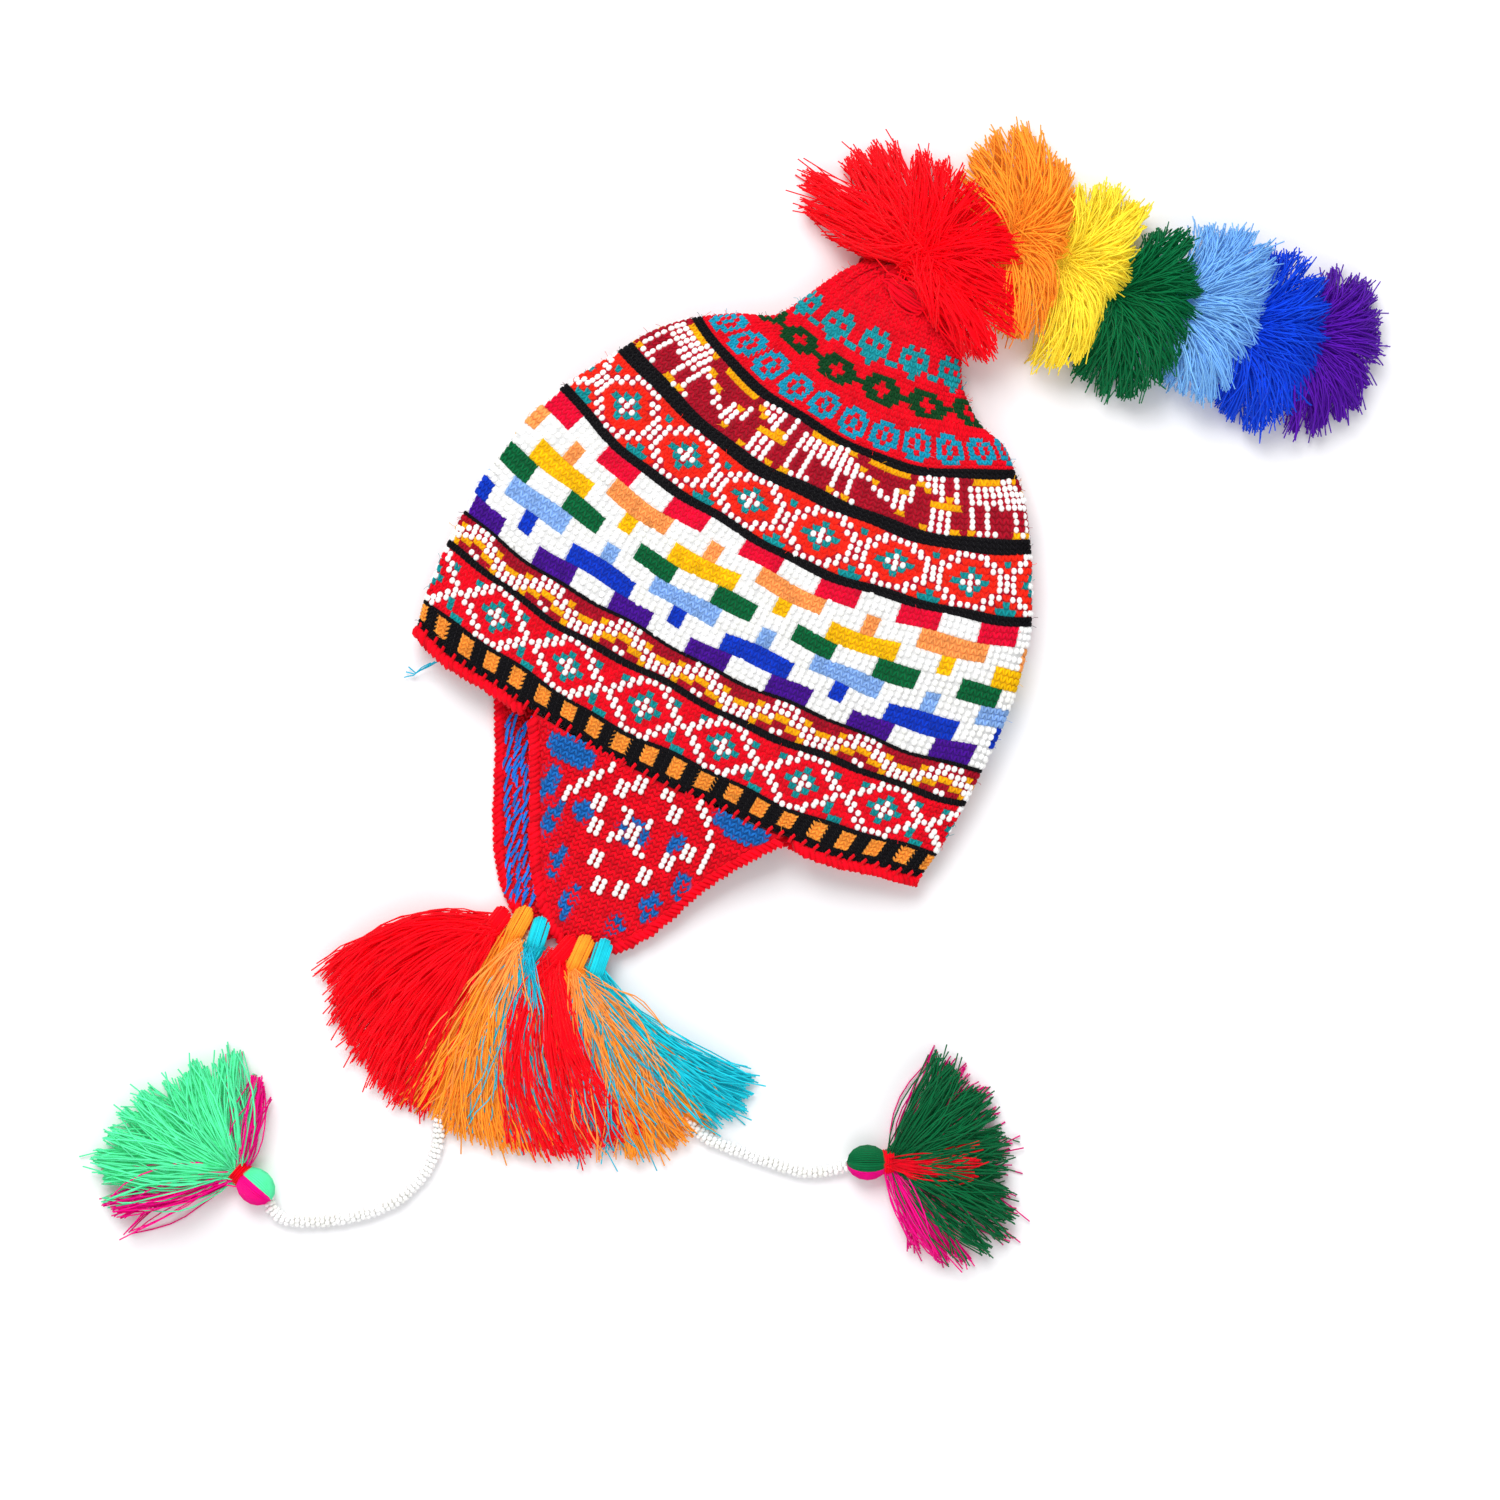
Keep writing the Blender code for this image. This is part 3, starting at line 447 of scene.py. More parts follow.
def end_tree(tree, ends, geometry):
    """Realizes the copies, shades them smooth and gives them their material."""
    real = node(tree, "GeometryNodeRealizeInstances", None, {"Geometry": geometry})
    smooth = node(tree, "GeometryNodeSetShadeSmooth", None, {"Geometry": real.outputs["Geometry"]})
    inputs = {"Geometry": smooth.outputs["Geometry"], "Material": ends[0].outputs["Material"]}
    done = node(tree, "GeometryNodeSetMaterial", None, inputs)
    tree.links.new(done.outputs["Geometry"], ends[1].inputs["Geometry"])


def placed_on_points(tree, points, shape):
    """Copies of a shape on points that carry the vectors across and upward, one unit wide and high."""
    across = named(tree, "across", "FLOAT_VECTOR")
    upward = named(tree, "upward", "FLOAT_VECTOR")
    out = node(tree, "ShaderNodeVectorMath", {"operation": "CROSS_PRODUCT"}, {0: across, 1: upward})
    turn = node(tree, "FunctionNodeAxesToRotation", {"primary_axis": "Z", "secondary_axis": "X"},
                {0: out.outputs["Vector"], 1: across})
    width = node(tree, "ShaderNodeVectorMath", {"operation": "LENGTH"}, {0: across}).outputs["Value"]
    height = node(tree, "ShaderNodeVectorMath", {"operation": "LENGTH"}, {0: upward}).outputs["Value"]
    size = combine(tree, width, height, MM)
    copies = node(tree, "GeometryNodeInstanceOnPoints", None,
                  {"Points": points, "Instance": shape, "Rotation": turn.outputs["Rotation"], "Scale": size})
    return copies.outputs["Instances"]


def stitch_tree():
    """Knit stitches: two plump legs of yarn that lean apart, in units of one stitch."""
    tree, start, end = new_tree("knit stitches", {
        "Leg Width": 0.47, "Leg Length": 1.32, "Leg Thickness": 2.0, "Leg Lean": 0.42, "Leg Offset": 0.25,
        "Leg Sides": 4,
    })
    size = combine(tree, start.outputs["Leg Width"], start.outputs["Leg Thickness"],
                   start.outputs["Leg Length"])
    pair = node(tree, "GeometryNodeJoinGeometry")
    for side in (-1, 1):
        grain = node(tree, "GeometryNodeMeshUVSphere", None,
                     {"Segments": start.outputs["Leg Sides"], "Rings": 3, "Radius": 0.5})
        sized = transformed(tree, grain.outputs["Mesh"], {"Scale": size})
        upright = transformed(tree, sized, {"Rotation": (math.radians(90), 0, 0)})
        lean = worked_out(tree, "MULTIPLY", start.outputs["Leg Lean"], -side)
        offset = worked_out(tree, "MULTIPLY", start.outputs["Leg Offset"], side)
        place = {"Rotation": combine(tree, 0, 0, lean), "Translation": combine(tree, offset, 0, 0)}
        tree.links.new(transformed(tree, upright, place), pair.inputs["Geometry"])
    end_tree(tree, (start, end), placed_on_points(tree, start.outputs["Geometry"], pair.outputs["Geometry"]))
    return tree


def bead_tree():
    """Seed beads, with the hole along the stitch."""
    tree, start, end = new_tree("seed beads", {"Bead Width": 3.1, "Bead Height": 2.3, "Bead Sides": 8})
    ball = node(tree, "GeometryNodeMeshUVSphere", None,
                {"Segments": start.outputs["Bead Sides"], "Rings": 4, "Radius": 0.5})
    width = start.outputs["Bead Width"]
    size = combine(tree, width, width, start.outputs["Bead Height"])
    sized = transformed(tree, ball.outputs["Mesh"], {"Scale": size})
    along = transformed(tree, sized, {"Rotation": (math.radians(90), 0, 0)})
    end_tree(tree, (start, end), placed_on_points(tree, start.outputs["Geometry"], along))
    return tree


def strand_tree():
    """Strands of yarn along chains of edges. A chain's wave grows with its attribute freedom."""
    sizes = {"Strand Width": 1.1, "Wave": 2.0, "Wave Length": 34.0, "Sides": 3}
    tree, start, end = new_tree("yarn strands", sizes)
    place = node(tree, "GeometryNodeInputPosition").outputs["Position"]
    scale = worked_out(tree, "DIVIDE", 1 / MM, start.outputs["Wave Length"])
    noise = node(tree, "ShaderNodeTexNoise", {"noise_dimensions": "4D"},
                 {"Vector": place, "W": named(tree, "strand", "FLOAT"), "Scale": scale, "Detail": 1.0})
    centred = node(tree, "ShaderNodeVectorMath", {"operation": "SUBTRACT"},
                   {0: noise.outputs["Color"], 1: (0.5, 0.5, 0.5)}).outputs["Vector"]
    reach = worked_out(tree, "MULTIPLY", named(tree, "freedom", "FLOAT"), start.outputs["Wave"])
    metres = worked_out(tree, "MULTIPLY", reach, 2 * MM)
    wave = node(tree, "ShaderNodeVectorMath", {"operation": "SCALE"}, {0: centred, "Scale": metres})
    moved = node(tree, "GeometryNodeSetPosition", None,
                 {"Geometry": start.outputs["Geometry"], "Offset": wave.outputs["Vector"]})
    here = node(tree, "GeometryNodeInputPosition").outputs["Position"]
    landed = node(tree, "ShaderNodeSeparateXYZ", None, {"Vector": here})
    radius = worked_out(tree, "MULTIPLY", start.outputs["Strand Width"], MM / 2)
    above = worked_out(tree, "MAXIMUM", landed.outputs["Z"], radius)
    raised = combine(tree, landed.outputs["X"], landed.outputs["Y"], above)
    kept = node(tree, "GeometryNodeSetPosition", None,
                {"Geometry": moved.outputs["Geometry"], "Position": raised})
    curves = node(tree, "GeometryNodeMeshToCurve", None, {"Mesh": kept.outputs["Geometry"]})
    profile = node(tree, "GeometryNodeCurvePrimitiveCircle", None,
                   {"Resolution": start.outputs["Sides"], "Radius": radius})
    tube = node(tree, "GeometryNodeCurveToMesh", None,
                {"Curve": curves.outputs["Curve"], "Profile Curve": profile.outputs["Curve"],
                 "Fill Caps": True})
    end_tree(tree, (start, end), tube.outputs["Mesh"])
    return tree


STITCHES = stitch_tree()
BEADS = bead_tree()
STRANDS = strand_tree()


def yarn(name, grain=0.9, glow=0.0):
    """Spun acrylic yarn: matt, with a little pale fuzz at grazing angles and a fine fibre relief.

    Its colour is the piece's attribute tint. A faint glow stands for light that wanders between strands.
    """
    material = bpy.data.materials.new(name)
    material.use_nodes = True
    tree = material.node_tree
    shader = tree.nodes["Principled BSDF"]
    tint = node(tree, "ShaderNodeAttribute", {"attribute_name": "tint"}).outputs["Color"]
    tree.links.new(tint, shader.inputs["Emission Color"])
    shader.inputs["Emission Strength"].default_value = glow
    place = node(tree, "ShaderNodeTexCoord").outputs["Object"]
    mottle = node(tree, "ShaderNodeTexNoise", None, {"Vector": place, "Scale": 1 / (6 * MM), "Detail": 3.0})
    shade = node(tree, "ShaderNodeMapRange", None,
                 {"Value": mottle.outputs["Fac"], "From Min": 0.3, "From Max": 0.7, "To Min": 0.84,
                  "To Max": 1.06})
    mixed = node(tree, "ShaderNodeMix", {"data_type": "RGBA", "blend_type": "MULTIPLY"},
                 {"Factor": 1.0, 6: tint, 7: shade.outputs["Result"]})
    tree.links.new(mixed.outputs[2], shader.inputs["Base Color"])
    fibre = node(tree, "ShaderNodeTexNoise", None,
                 {"Vector": place, "Scale": 1 / (grain * MM), "Detail": 2.0})
    relief = node(tree, "ShaderNodeBump", None,
                  {"Strength": 0.5, "Distance": 0.25 * MM, "Height": fibre.outputs["Fac"]})
    tree.links.new(relief.outputs["Normal"], shader.inputs["Normal"])
    shader.inputs["Roughness"].default_value = 0.78
    shader.inputs["Sheen Weight"].default_value = 0.06
    shader.inputs["Sheen Roughness"].default_value = 0.4
    shader.inputs["Specular IOR Level"].default_value = 0.12
    return material


def bead_glass():
    """Opaque white glass seed beads: bright and glossy, some a little creamier than others."""
    material = bpy.data.materials.new("opaque_white_glass_bead")
    material.use_nodes = True
    tree = material.node_tree
    shader = tree.nodes["Principled BSDF"]
    place = node(tree, "ShaderNodeTexCoord").outputs["Object"]
    mottle = node(tree, "ShaderNodeTexNoise", None, {"Vector": place, "Scale": 1 / (9 * MM), "Detail": 2.0})
    ramp = node(tree, "ShaderNodeValToRGB", None, {"Fac": mottle.outputs["Fac"]})
    ramp.color_ramp.elements[0].position = 0.35
    ramp.color_ramp.elements[0].color = linear("F6F6F2")
    ramp.color_ramp.elements[1].position = 0.6
    ramp.color_ramp.elements[1].color = linear("FFFFFF")
    tree.links.new(ramp.outputs["Color"], shader.inputs["Base Color"])
    shader.inputs["Roughness"].default_value = 0.16
    shader.inputs["IOR"].default_value = 1.52
    return material


KNIT_YARN = yarn("knitted_acrylic_yarn")
LOOSE_YARN = yarn("loose_acrylic_yarn", grain=0.6, glow=0.16)
GLASS = bead_glass()


def sections_at(rise):
    """The crown's section at one rise: half width, shift, depth and bow, smooth through the table's rows."""
    table = np.array(CROWN_SECTIONS)
    k = int(np.clip(np.searchsorted(table[:, 0], rise) - 1, 0, len(table) - 2))
    rows = table[np.clip([k - 1, k, k + 1, k + 2], 0, len(table) - 1)]
    t = (rise - rows[1, 0]) / (rows[2, 0] - rows[1, 0])
    span = rows[2, 0] - rows[1, 0]
    slopes = []
    for before, here, after in ((rows[0], rows[1], rows[2]), (rows[1], rows[2], rows[3])):
        width = after[0] - before[0]
        slopes.append((after - before) / width * span if width > 0 else (after - here) * 0)
    h = (2 * t**3 - 3 * t**2 + 1, t**3 - 2 * t**2 + t, -2 * t**3 + 3 * t**2, t**3 - t**2)
    return h[0] * rows[1] + h[1] * slopes[0] + h[2] * rows[2] + h[3] * slopes[1]


def ring(height):
    """The outer surface along one row, from the near wall's middle over the right fold all the way round."""
    rise = (height + HEM_DROP) / CROWN_LENGTH
    _, half_width, shift, depth, bow = sections_at(rise)
    turn = math.pi / 2 - np.linspace(0, 2 * math.pi, RING_SAMPLES + 1)
    cos, sin = np.cos(turn), np.sin(turn)
    across = np.sign(cos) * np.abs(cos) ** (2 / ROW_POWER)
    share = np.minimum(np.abs(across), 1.0)
    high = (1 - share**ROW_POWER).clip(0, 1) ** (1 / ROW_POWER)
    x = (shift + across * half_width) * CROWN_HALF_WIDTH
    y = rise * CROWN_LENGTH - HEM_DROP + bow * ROW_BOW * share**ROW_POWER
    y += WOBBLE * (np.sin(x / 15 + height / 11) + 0.6 * np.sin(x / 6.1 - height / 7 + 2))
    dent = np.zeros_like(x)
    for d in CROWN_DENTS:
        dx = x - d.across * CROWN_HALF_WIDTH
        dy = y - (d.rise * CROWN_LENGTH - HEM_DROP)
        radius = d.radius * CROWN_HALF_WIDTH
        dent += d.depth * CROWN_DEPTH * np.exp(-(dx**2 + dy**2) / radius**2)
    fold = depth * FOLD_HEIGHT
    puckered = np.clip((rise - PUCKER_FROM) / (1 - PUCKER_FROM), 0, 1)
    pucker = PUCKER_DEPTH * puckered * (1 + np.cos(PUCKERS * turn))
    near = fold + (depth * CROWN_DEPTH - fold - dent) * high - pucker
    far = fold * np.maximum(0, 1 - high / FLAT_FROM) ** 2
    return np.stack([x, y, np.where(sin >= -1e-9, near, far)], axis=1)


def length_along(points):
    """The length of a line up to each of its points."""
    return np.concatenate([[0], np.cumsum(np.linalg.norm(np.diff(points, axis=0), axis=1))])


def at_stops(stops, length, points):
    """The points or vectors of a line at stops along its length."""
    return np.stack([np.interp(stops, length, points[:, i]) for i in range(3)], axis=1)


def on_ring(points, shares):
    """Places along a ring, as shares of its length."""
    length = length_along(points)
    return at_stops(np.mod(shares, 1.0) * length[-1], length, points)


def rows_of_knit():
    """Every row of the crown: its low edge, middle and high edge, its stitches round, and their letters."""
    rows = []
    for band in BANDS:
        step = (band.high - band.low) / len(band.chart)
        for i, chart_row in enumerate(reversed(band.chart)):
            low = band.low + i * step
            letters = symbols_of(chart_row, band.round, band.first)
            rows.append(KnitRow(low, low + step / 2, low + step, band.round, letters))
    return rows


def symbols_of(chart_row, count, first):
    """The chart's letters for the stitches of one row, counted from the middle of the near wall."""
    columns = np.arange(count)
    centred = np.where(columns > count // 2, columns - count, columns)
    return [chart_row[int(math.floor(c - first)) % len(chart_row)] for c in centred]


def knit_points():
    """The crown's stitches, and the beads that take the place of some."""
    found = []
    for row in rows_of_knit():
        shares = (np.arange(row.round) + 0.5) / row.round
        half = 0.5 / row.round
        middle = ring(row.middle)
        centre = on_ring(middle, shares)
        across = on_ring(middle, shares + half) - on_ring(middle, shares - half)
        upward = on_ring(ring(row.high), shares) - on_ring(ring(row.low), shares)
        out = unit(np.cross(across, upward))
        found += [Stitch(*values) for values in zip(centre, across, upward, out, row.letters)]
    return found


def dress(obj, replaces=()):
    """Puts a finished piece on the hat's one body."""
    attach(obj, BODY)
    if replaces:
        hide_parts(*replaces)
    return obj


RANDOM = np.random.default_rng(7)


def tinted(colour, count, spread=0.06):
    """The same colour for many points, each a little lighter or darker."""
    shade = 1 + RANDOM.normal(0, spread, (count, 1))
    rgba = np.array(linear(colour)) * np.clip(shade, 0.7, 1.3)
    rgba[:, 3] = 1
    return rgba


def points_object(name, items, colours):
    """Points that carry the vectors that a stitch or a bead is placed by."""
    place, across, upward = (np.array([item[i] for item in items]) for i in range(3))
    attributes = {"across": ("FLOAT_VECTOR", across * MM), "upward": ("FLOAT_VECTOR", upward * MM)}
    if colours is not None:
        attributes["tint"] = ("FLOAT_COLOR", colours)
    return object_of(name, place, attributes=attributes)


def unit(vectors):
    """The vectors at a length of one."""
    return vectors / np.linalg.norm(vectors, axis=-1, keepdims=True)


def jittered(across, upward):
    """A bead's two directions, a little out of true."""
    return unit(unit(across) + RANDOM.normal(0, 0.10, 3)), unit(unit(upward) + RANDOM.normal(0, 0.13, 3))


def thickened(sheet, name, thickness, offset):
    """The sheet with a thickness, smooth and in knitted yarn."""
    solidify = sheet.modifiers.new("thickness", "SOLIDIFY")
    solidify.thickness = thickness * MM
    solidify.offset = offset
    cloth = evaluated(sheet, name)
    cloth.data.shade_smooth()
    cloth.data.materials.append(KNIT_YARN)
    return cloth


def make_stitches(name, items, letters):
    """Knit stitches in the colours of their letters, each a little lighter or darker."""
    colours = np.array([linear(COLOURS[letter]) for letter in letters])
    colours[:, :3] *= np.clip(1 + RANDOM.normal(0, STITCH_SPREAD, (len(items), 1)), 0.75, 1.25)
    source = points_object(name + "_points", items, colours)
    dress(grown(source, STITCHES, name, {"Material": KNIT_YARN}))


def make_beads(name, items, width=BEAD_WIDTH, height=BEAD_HEIGHT, replaces=()):
    """Seed beads, each at its place and in its two directions."""
    source = points_object(name + "_points", items, None)
    values = {"Bead Width": width, "Bead Height": height, "Material": GLASS}
    dress(grown(source, BEADS, name, values), replaces)


def make_crown_cloth():
    """The crown's cloth, closed at the tip. Each face has the colour of the stitch that lies nearest."""
    rows = rows_of_knit()
    levels = [row.low for row in rows] + [BANDS[-1].high, CLOTH_TOP]
    count = COLUMNS_ROUND
    shares = np.arange(count) / count
    grid = np.array([on_ring(ring(level), shares) for level in levels])
    across = np.roll(grid, -1, axis=1) - np.roll(grid, 1, axis=1)
    upward = np.gradient(grid, axis=0)
    grid = grid - unit(np.cross(across, upward)) * KNIT_INSET
    tip = grid[-1].mean(axis=0) + (0, CLOTH_TIP, 0)
    points = np.concatenate([grid.reshape(-1, 3), [tip]])
    faces, letters = [], []
    for r in range(len(levels) - 1):
        for c in range(count):
            d = (c + 1) % count
            faces.append((r * count + c, r * count + d, (r + 1) * count + d, (r + 1) * count + c))
    last = (len(levels) - 1) * count
    faces += [(last + c, last + (c + 1) % count, len(points) - 1) for c in range(count)]
    for row in rows:
        letters += [row.letters[int((c + 0.5) / count * row.round) % row.round] for c in range(count)]
    letters += ["."] * (len(faces) - len(letters))
    tints = np.array([linear(GROUND_UNDER_BEADS.get(letter, COLOURS[letter])) for letter in letters])
    sheet = object_of("crown_cloth_base", points, faces=faces)
    layer = sheet.data.attributes.new("tint", "FLOAT_COLOR", "CORNER")
    # Each face is darkened by a set share: painted shade in the gaps between the stitches.
    values = np.repeat(tints * CLOTH_PAINTED_SHADE, [len(face) for face in faces], axis=0)
    layer.data.foreach_set("color", values.astype(np.float32).ravel())
    cloth = thickened(sheet, "crown_knit", KNIT_THICKNESS, -1)
    dress(cloth, ["crown"])


def make_crown():
    """The knitted crown: the cloth itself, its stitches, its beads and its fuzz."""
    make_crown_cloth()
    stitches = [s for s in knit_points() if s.out[2] > STITCHES_FROM]
    plain = [s for s in stitches if s.letter not in "Ww"]
    items = [(s.place - s.out * KNIT_INSET, s.across, s.upward) for s in plain]
    make_stitches("crown_stitches", items, [s.letter for s in plain])
    beads = {"w": [], "W": []}
    for s in stitches:
        if s.letter in beads:
            centre = s.place - s.out * (BEAD_WIDTH / 2 - 0.1) + RANDOM.normal(0, 0.2, 3) * (0.6, 1.5, 0.4)
            beads[s.letter].append((centre, *jittered(s.across, s.upward)))
    make_beads("crown_field_beads", beads["w"])
    make_beads("crown_motif_beads", beads["W"])
    make_fuzz([s for s in plain if s.out[2] > FUZZ_FROM])


def make_fuzz(stitches):
    """Fine fibres that stand off the worn knit."""
    lines, shades = [], []
    for i in RANDOM.choice(len(stitches), FUZZ_COUNT, replace=False):
        stitch = stitches[i]
        lean = RANDOM.normal(0, 0.6, 3)
        way = unit(stitch.out * 0.8 + lean) * RANDOM.uniform(1.6, 3.6)
        start = stitch.place - stitch.out * 0.8
        lines.append([start, start + way * 0.6, start + way + RANDOM.normal(0, 0.5, 3)])
        shades.append(linear(COLOURS[stitch.letter]))
    strands_object("crown_fuzz", lines, np.array(shades), 0.0, width=FUZZ_WIDTH, wave=0.0)


def half_width_at(drop):
    """A flap's half width without its edge, part of the way down it."""
    table = np.array(FLAP_ROWS)
    return np.interp(drop, table[:, 0], table[:, 1]) * FLAP_HALF_WIDTH


def hem_at(x):
    """Height of the near wall's middle and how far up the hem lies, over a place along it."""
    hem = CROWN_SECTIONS[0]
    share = np.minimum(np.abs((x / CROWN_HALF_WIDTH - hem.shift) / hem.half_width), 1.0)
    high = (1 - share**ROW_POWER) ** (1 / ROW_POWER)
    fold = hem.depth * FOLD_HEIGHT
    top = hem.depth * CROWN_DEPTH
    return fold + (top - fold) * high - WALL / 2, -HEM_DROP + hem.bow * ROW_BOW * share**ROW_POWER


def flap_surface(flap, x, drop):
    """The flap's middle surface: drop runs from 0 at the hem to 1 at its tip."""
    height, line = hem_at(x)
    top = line - GAP
    if flap == "far":
        z = np.full_like(x, BINDING_THICKNESS / 2)
    else:
        z = NEAR_FLAP_REST + (height - NEAR_FLAP_REST) * np.maximum(0.0, 1.0 - drop) ** FLAP_FALL_POWER
    return np.stack([x, top + (FLAP_FOOT - top) * drop, z], axis=-1)


def cloth_width(flap, drop, side):
    """How far the flap's cloth reaches to one side. The near flap's right edge is drawn in, as it lies."""
    drawn_in = FLAP_DRAWN_IN * np.sin(np.pi * drop) if flap == "near" and side > 0 else 0.0
    return half_width_at(drop) * (1 - drawn_in)


def flap_places(flap):
    """Stitches of a flap in rows and columns: where each lies, and the vectors across and upward."""
    found = []
    for y in np.arange(FLAP_FOOT + 1.5, 20, FLAP_ROW):
        for x in np.arange(-FLAP_HALF_WIDTH, FLAP_HALF_WIDTH + 1, FLAP_STITCH) + FLAP_X[flap]:
            top = hem_at(np.array(x))[1] - GAP
            drop = (y - top) / (FLAP_FOOT - top)
            side = np.sign(x - FLAP_X[flap])
            if 0 <= drop <= 1 and abs(x - FLAP_X[flap]) < cloth_width(flap, drop, side) + 0.5:
                at = [flap_surface(flap, np.array(x), np.array(d)) for d in (drop, min(1, drop + 0.02))]
                slope = unit(at[0] - at[1]) * FLAP_ROW
                found.append((at[0], np.array((FLAP_STITCH, 0.0, 0.0)), slope))
    return found


def near_flap_letter(x, y, solid=False):
    """What the near flap shows at a place: a bead, a blue stitch or a red one.

    Blue is mixed with red unless solid.
    """
    for a, b in ((chain[i], chain[i + 1]) for chain in FLAP_CHAINS for i in range(len(chain) - 1)):
        a, b, p = np.array(a, float), np.array(b, float), np.array((x, y))
        share = np.clip(np.dot(p - a, b - a) / np.dot(b - a, b - a), 0, 1)
        if np.linalg.norm(p - a - share * (b - a)) < BEAD_LINE_REACH:
            return "W"
    for block_x, block_y in FLAP_BLOCKS:
        if abs(x - block_x) < FLAP_STITCH and abs(y - block_y) < FLAP_ROW * 1.5:
            return "W"
    for patch in FLAP_PATCHES:
        if math.hypot((x - patch.x) / patch.half_width, (y - patch.y) / patch.half_height) < 1:
            return "f" if solid or RANDOM.random() < patch.share else "."
    return "."


def make_flap_cloth(flap):
    """An ear flap's cloth, which reaches a little way under the crocheted edge."""
    drops = np.linspace(0, 1, FLAP_CLOTH_ROWS)
    columns = np.linspace(-1, 1, FLAP_CLOTH_COLUMNS)
    left, right = (cloth_width(flap, drops[:, None], side) for side in (-1, 1))
    x = FLAP_X[flap] + (np.where(columns < 0, left, right) + CLOTH_UNDER_EDGE) * columns
    grid = flap_surface(flap, x, np.repeat(drops[:, None], len(columns), axis=1))
    grid[..., 2] -= 0.3
    count = len(columns)
    faces = [
        (r * count + c, (r + 1) * count + c, (r + 1) * count + c + 1, r * count + c + 1)
        for r in range(len(drops) - 1) for c in range(count - 1)
    ]
    sheet = object_of(f"{flap}_flap_base", grid.reshape(-1, 3), faces=faces)
    cloth = thickened(sheet, f"{flap}_flap_knit", FLAP_CLOTH, 0)
    layer = cloth.data.attributes.new("tint", "FLOAT_COLOR", "POINT")
    letters = [near_flap_letter(v.co.x / MM, v.co.y / MM, solid=True) for v in cloth.data.vertices]
    ground = [linear(COLOURS["f" if flap == "near" and letter == "f" else "."]) for letter in letters]
    # The ground is darkened by a set share: painted shade in the gaps between the stitches.
    layer.data.foreach_set("color", (np.array(ground) * FLAP_CLOTH_PAINTED_SHADE).ravel().astype(np.float32))
    dress(cloth, [f"{flap}_ear_flap"])


def make_flap(flap):
    """An ear flap: its cloth, its stitches, and the near one's beads or the far one's floats."""
    make_flap_cloth(flap)
    places = flap_places(flap)
    letters = [near_flap_letter(*p[0][:2]) if flap == "near" else "." for p in places]
    rise = FLAP_CLOTH / 2
    plain = [(p[0] + (0, 0, rise), p[1], p[2]) for p, s in zip(places, letters) if s != "W"]
    make_stitches(f"{flap}_flap_stitches", plain, [s for s in letters if s != "W"])
    if flap == "near":
        beaded = [p for p, s in zip(places, letters) if s == "W"]
        items = [(p[0] + (0, 0, rise + FLAP_BEAD_RISE), *jittered(p[1], p[2])) for p in beaded]
        make_beads("near_flap_beads", items)
    else:
        make_floats()


def make_floats():
    """Blue yarn that runs loose across the far flap's inner side, between the stitches that show outside."""
    lines = []
    z = BINDING_THICKNESS / 2 + FLAP_CLOTH / 2 + FLOAT_SINK
    for t in np.linspace(0.02, 1, 24):
        for k in np.linspace(-1, 1, 4):
            middle = np.array(FLOATS_TOP) * (1 - t) + np.array(FLOATS_FOOT) * t
            middle = middle + np.array((1.0, 0.35)) * k * FLOATS_HALF_WIDTH + RANDOM.normal(0, 0.7, 2)
            run = np.array((0.10, -1.0)) * FLOAT_REACH + RANDOM.normal(0, 0.5, 2)
            low = z - FLOAT_SINK
            lines.append([(*(middle - run), low), (*middle, z + FLOAT_RISE), (*(middle + run), low)])
    colours = tinted(COLOURS["F"], len(lines), 0.15)
    strands_object("far_flap_floats", lines, colours, 0.0, width=FLOAT_WIDTH, wave=0.0)


# The pompoms: along and up place a tie in pitches from the first one, and each lock has its bearing in
# degrees and its reach as a share of POMPOM_LENGTH
POMPOMS = (
    Pompom("pompom_red", "yarn_red", "FF0018", 0.0, 0.0,
           ((240, 0.28), (214, 0.36), (203, 0.70), (190, 1.18), (177, 1.45), (156, 1.28),
            (135, 1.18), (112, 1.04), (84, 0.86), (45, 0.90), (5, 1.00), (-16, 1.24),
            (-33, 1.28), (-46, 1.02), (-66, 0.52), (-88, 0.32))),
    Pompom("pompom_orange", "yarn_orange", "FFA02C", 1.18, 0.93,
           ((161, 0.78), (137, 0.98), (112, 1.18), (90, 0.94), (66, 0.76), (25, 0.55),
            (-15, 0.50), (-56, 1.12), (-80, 0.9))),
    Pompom("pompom_yellow", "yarn_yellow", "FFE63C", 2.04, 0.96,
           ((106, 0.74), (82, 0.92), (58, 0.96), (34, 0.70), (0, 0.7), (-25, 0.60),
            (-56, 1.10), (-76, 1.18))),
    Pompom("pompom_green", "yarn_green", "006B3C", 2.93, 0.89,
           ((80, 0.68), (62, 0.96), (38, 0.88), (2, 0.90), (-28, 1.05), (-52, 1.18),
            (-76, 1.00), (-100, 0.80))),
    Pompom("pompom_light_blue", "yarn_light_blue", "7DB9F2", 3.89, 1.14,
           ((92, 0.84), (70, 1.02), (48, 1.14), (12, 0.90), (-22, 1.00), (-42, 1.16),
            (-68, 0.82))),
    Pompom("pompom_royal_blue", "yarn_royal_blue", "0A46DC", 5.00, 1.21,
           ((90, 0.86), (70, 1.00), (46, 0.98), (10, 0.90), (-28, 1.02), (-52, 1.10),
            (-78, 0.74))),
    Pompom("pompom_purple", "yarn_purple", "5A12AA", 5.89, 1.50,
           ((84, 0.76), (64, 0.98), (40, 0.94), (14, 0.90), (-11, 0.92), (-35, 1.00),
            (-58, 1.02))),
)


def bearing(degrees):
    """The level vectors of one unit at these bearings."""
    turn = np.radians(degrees)
    return np.stack([np.cos(turn), np.sin(turn), np.zeros_like(turn)], axis=-1)


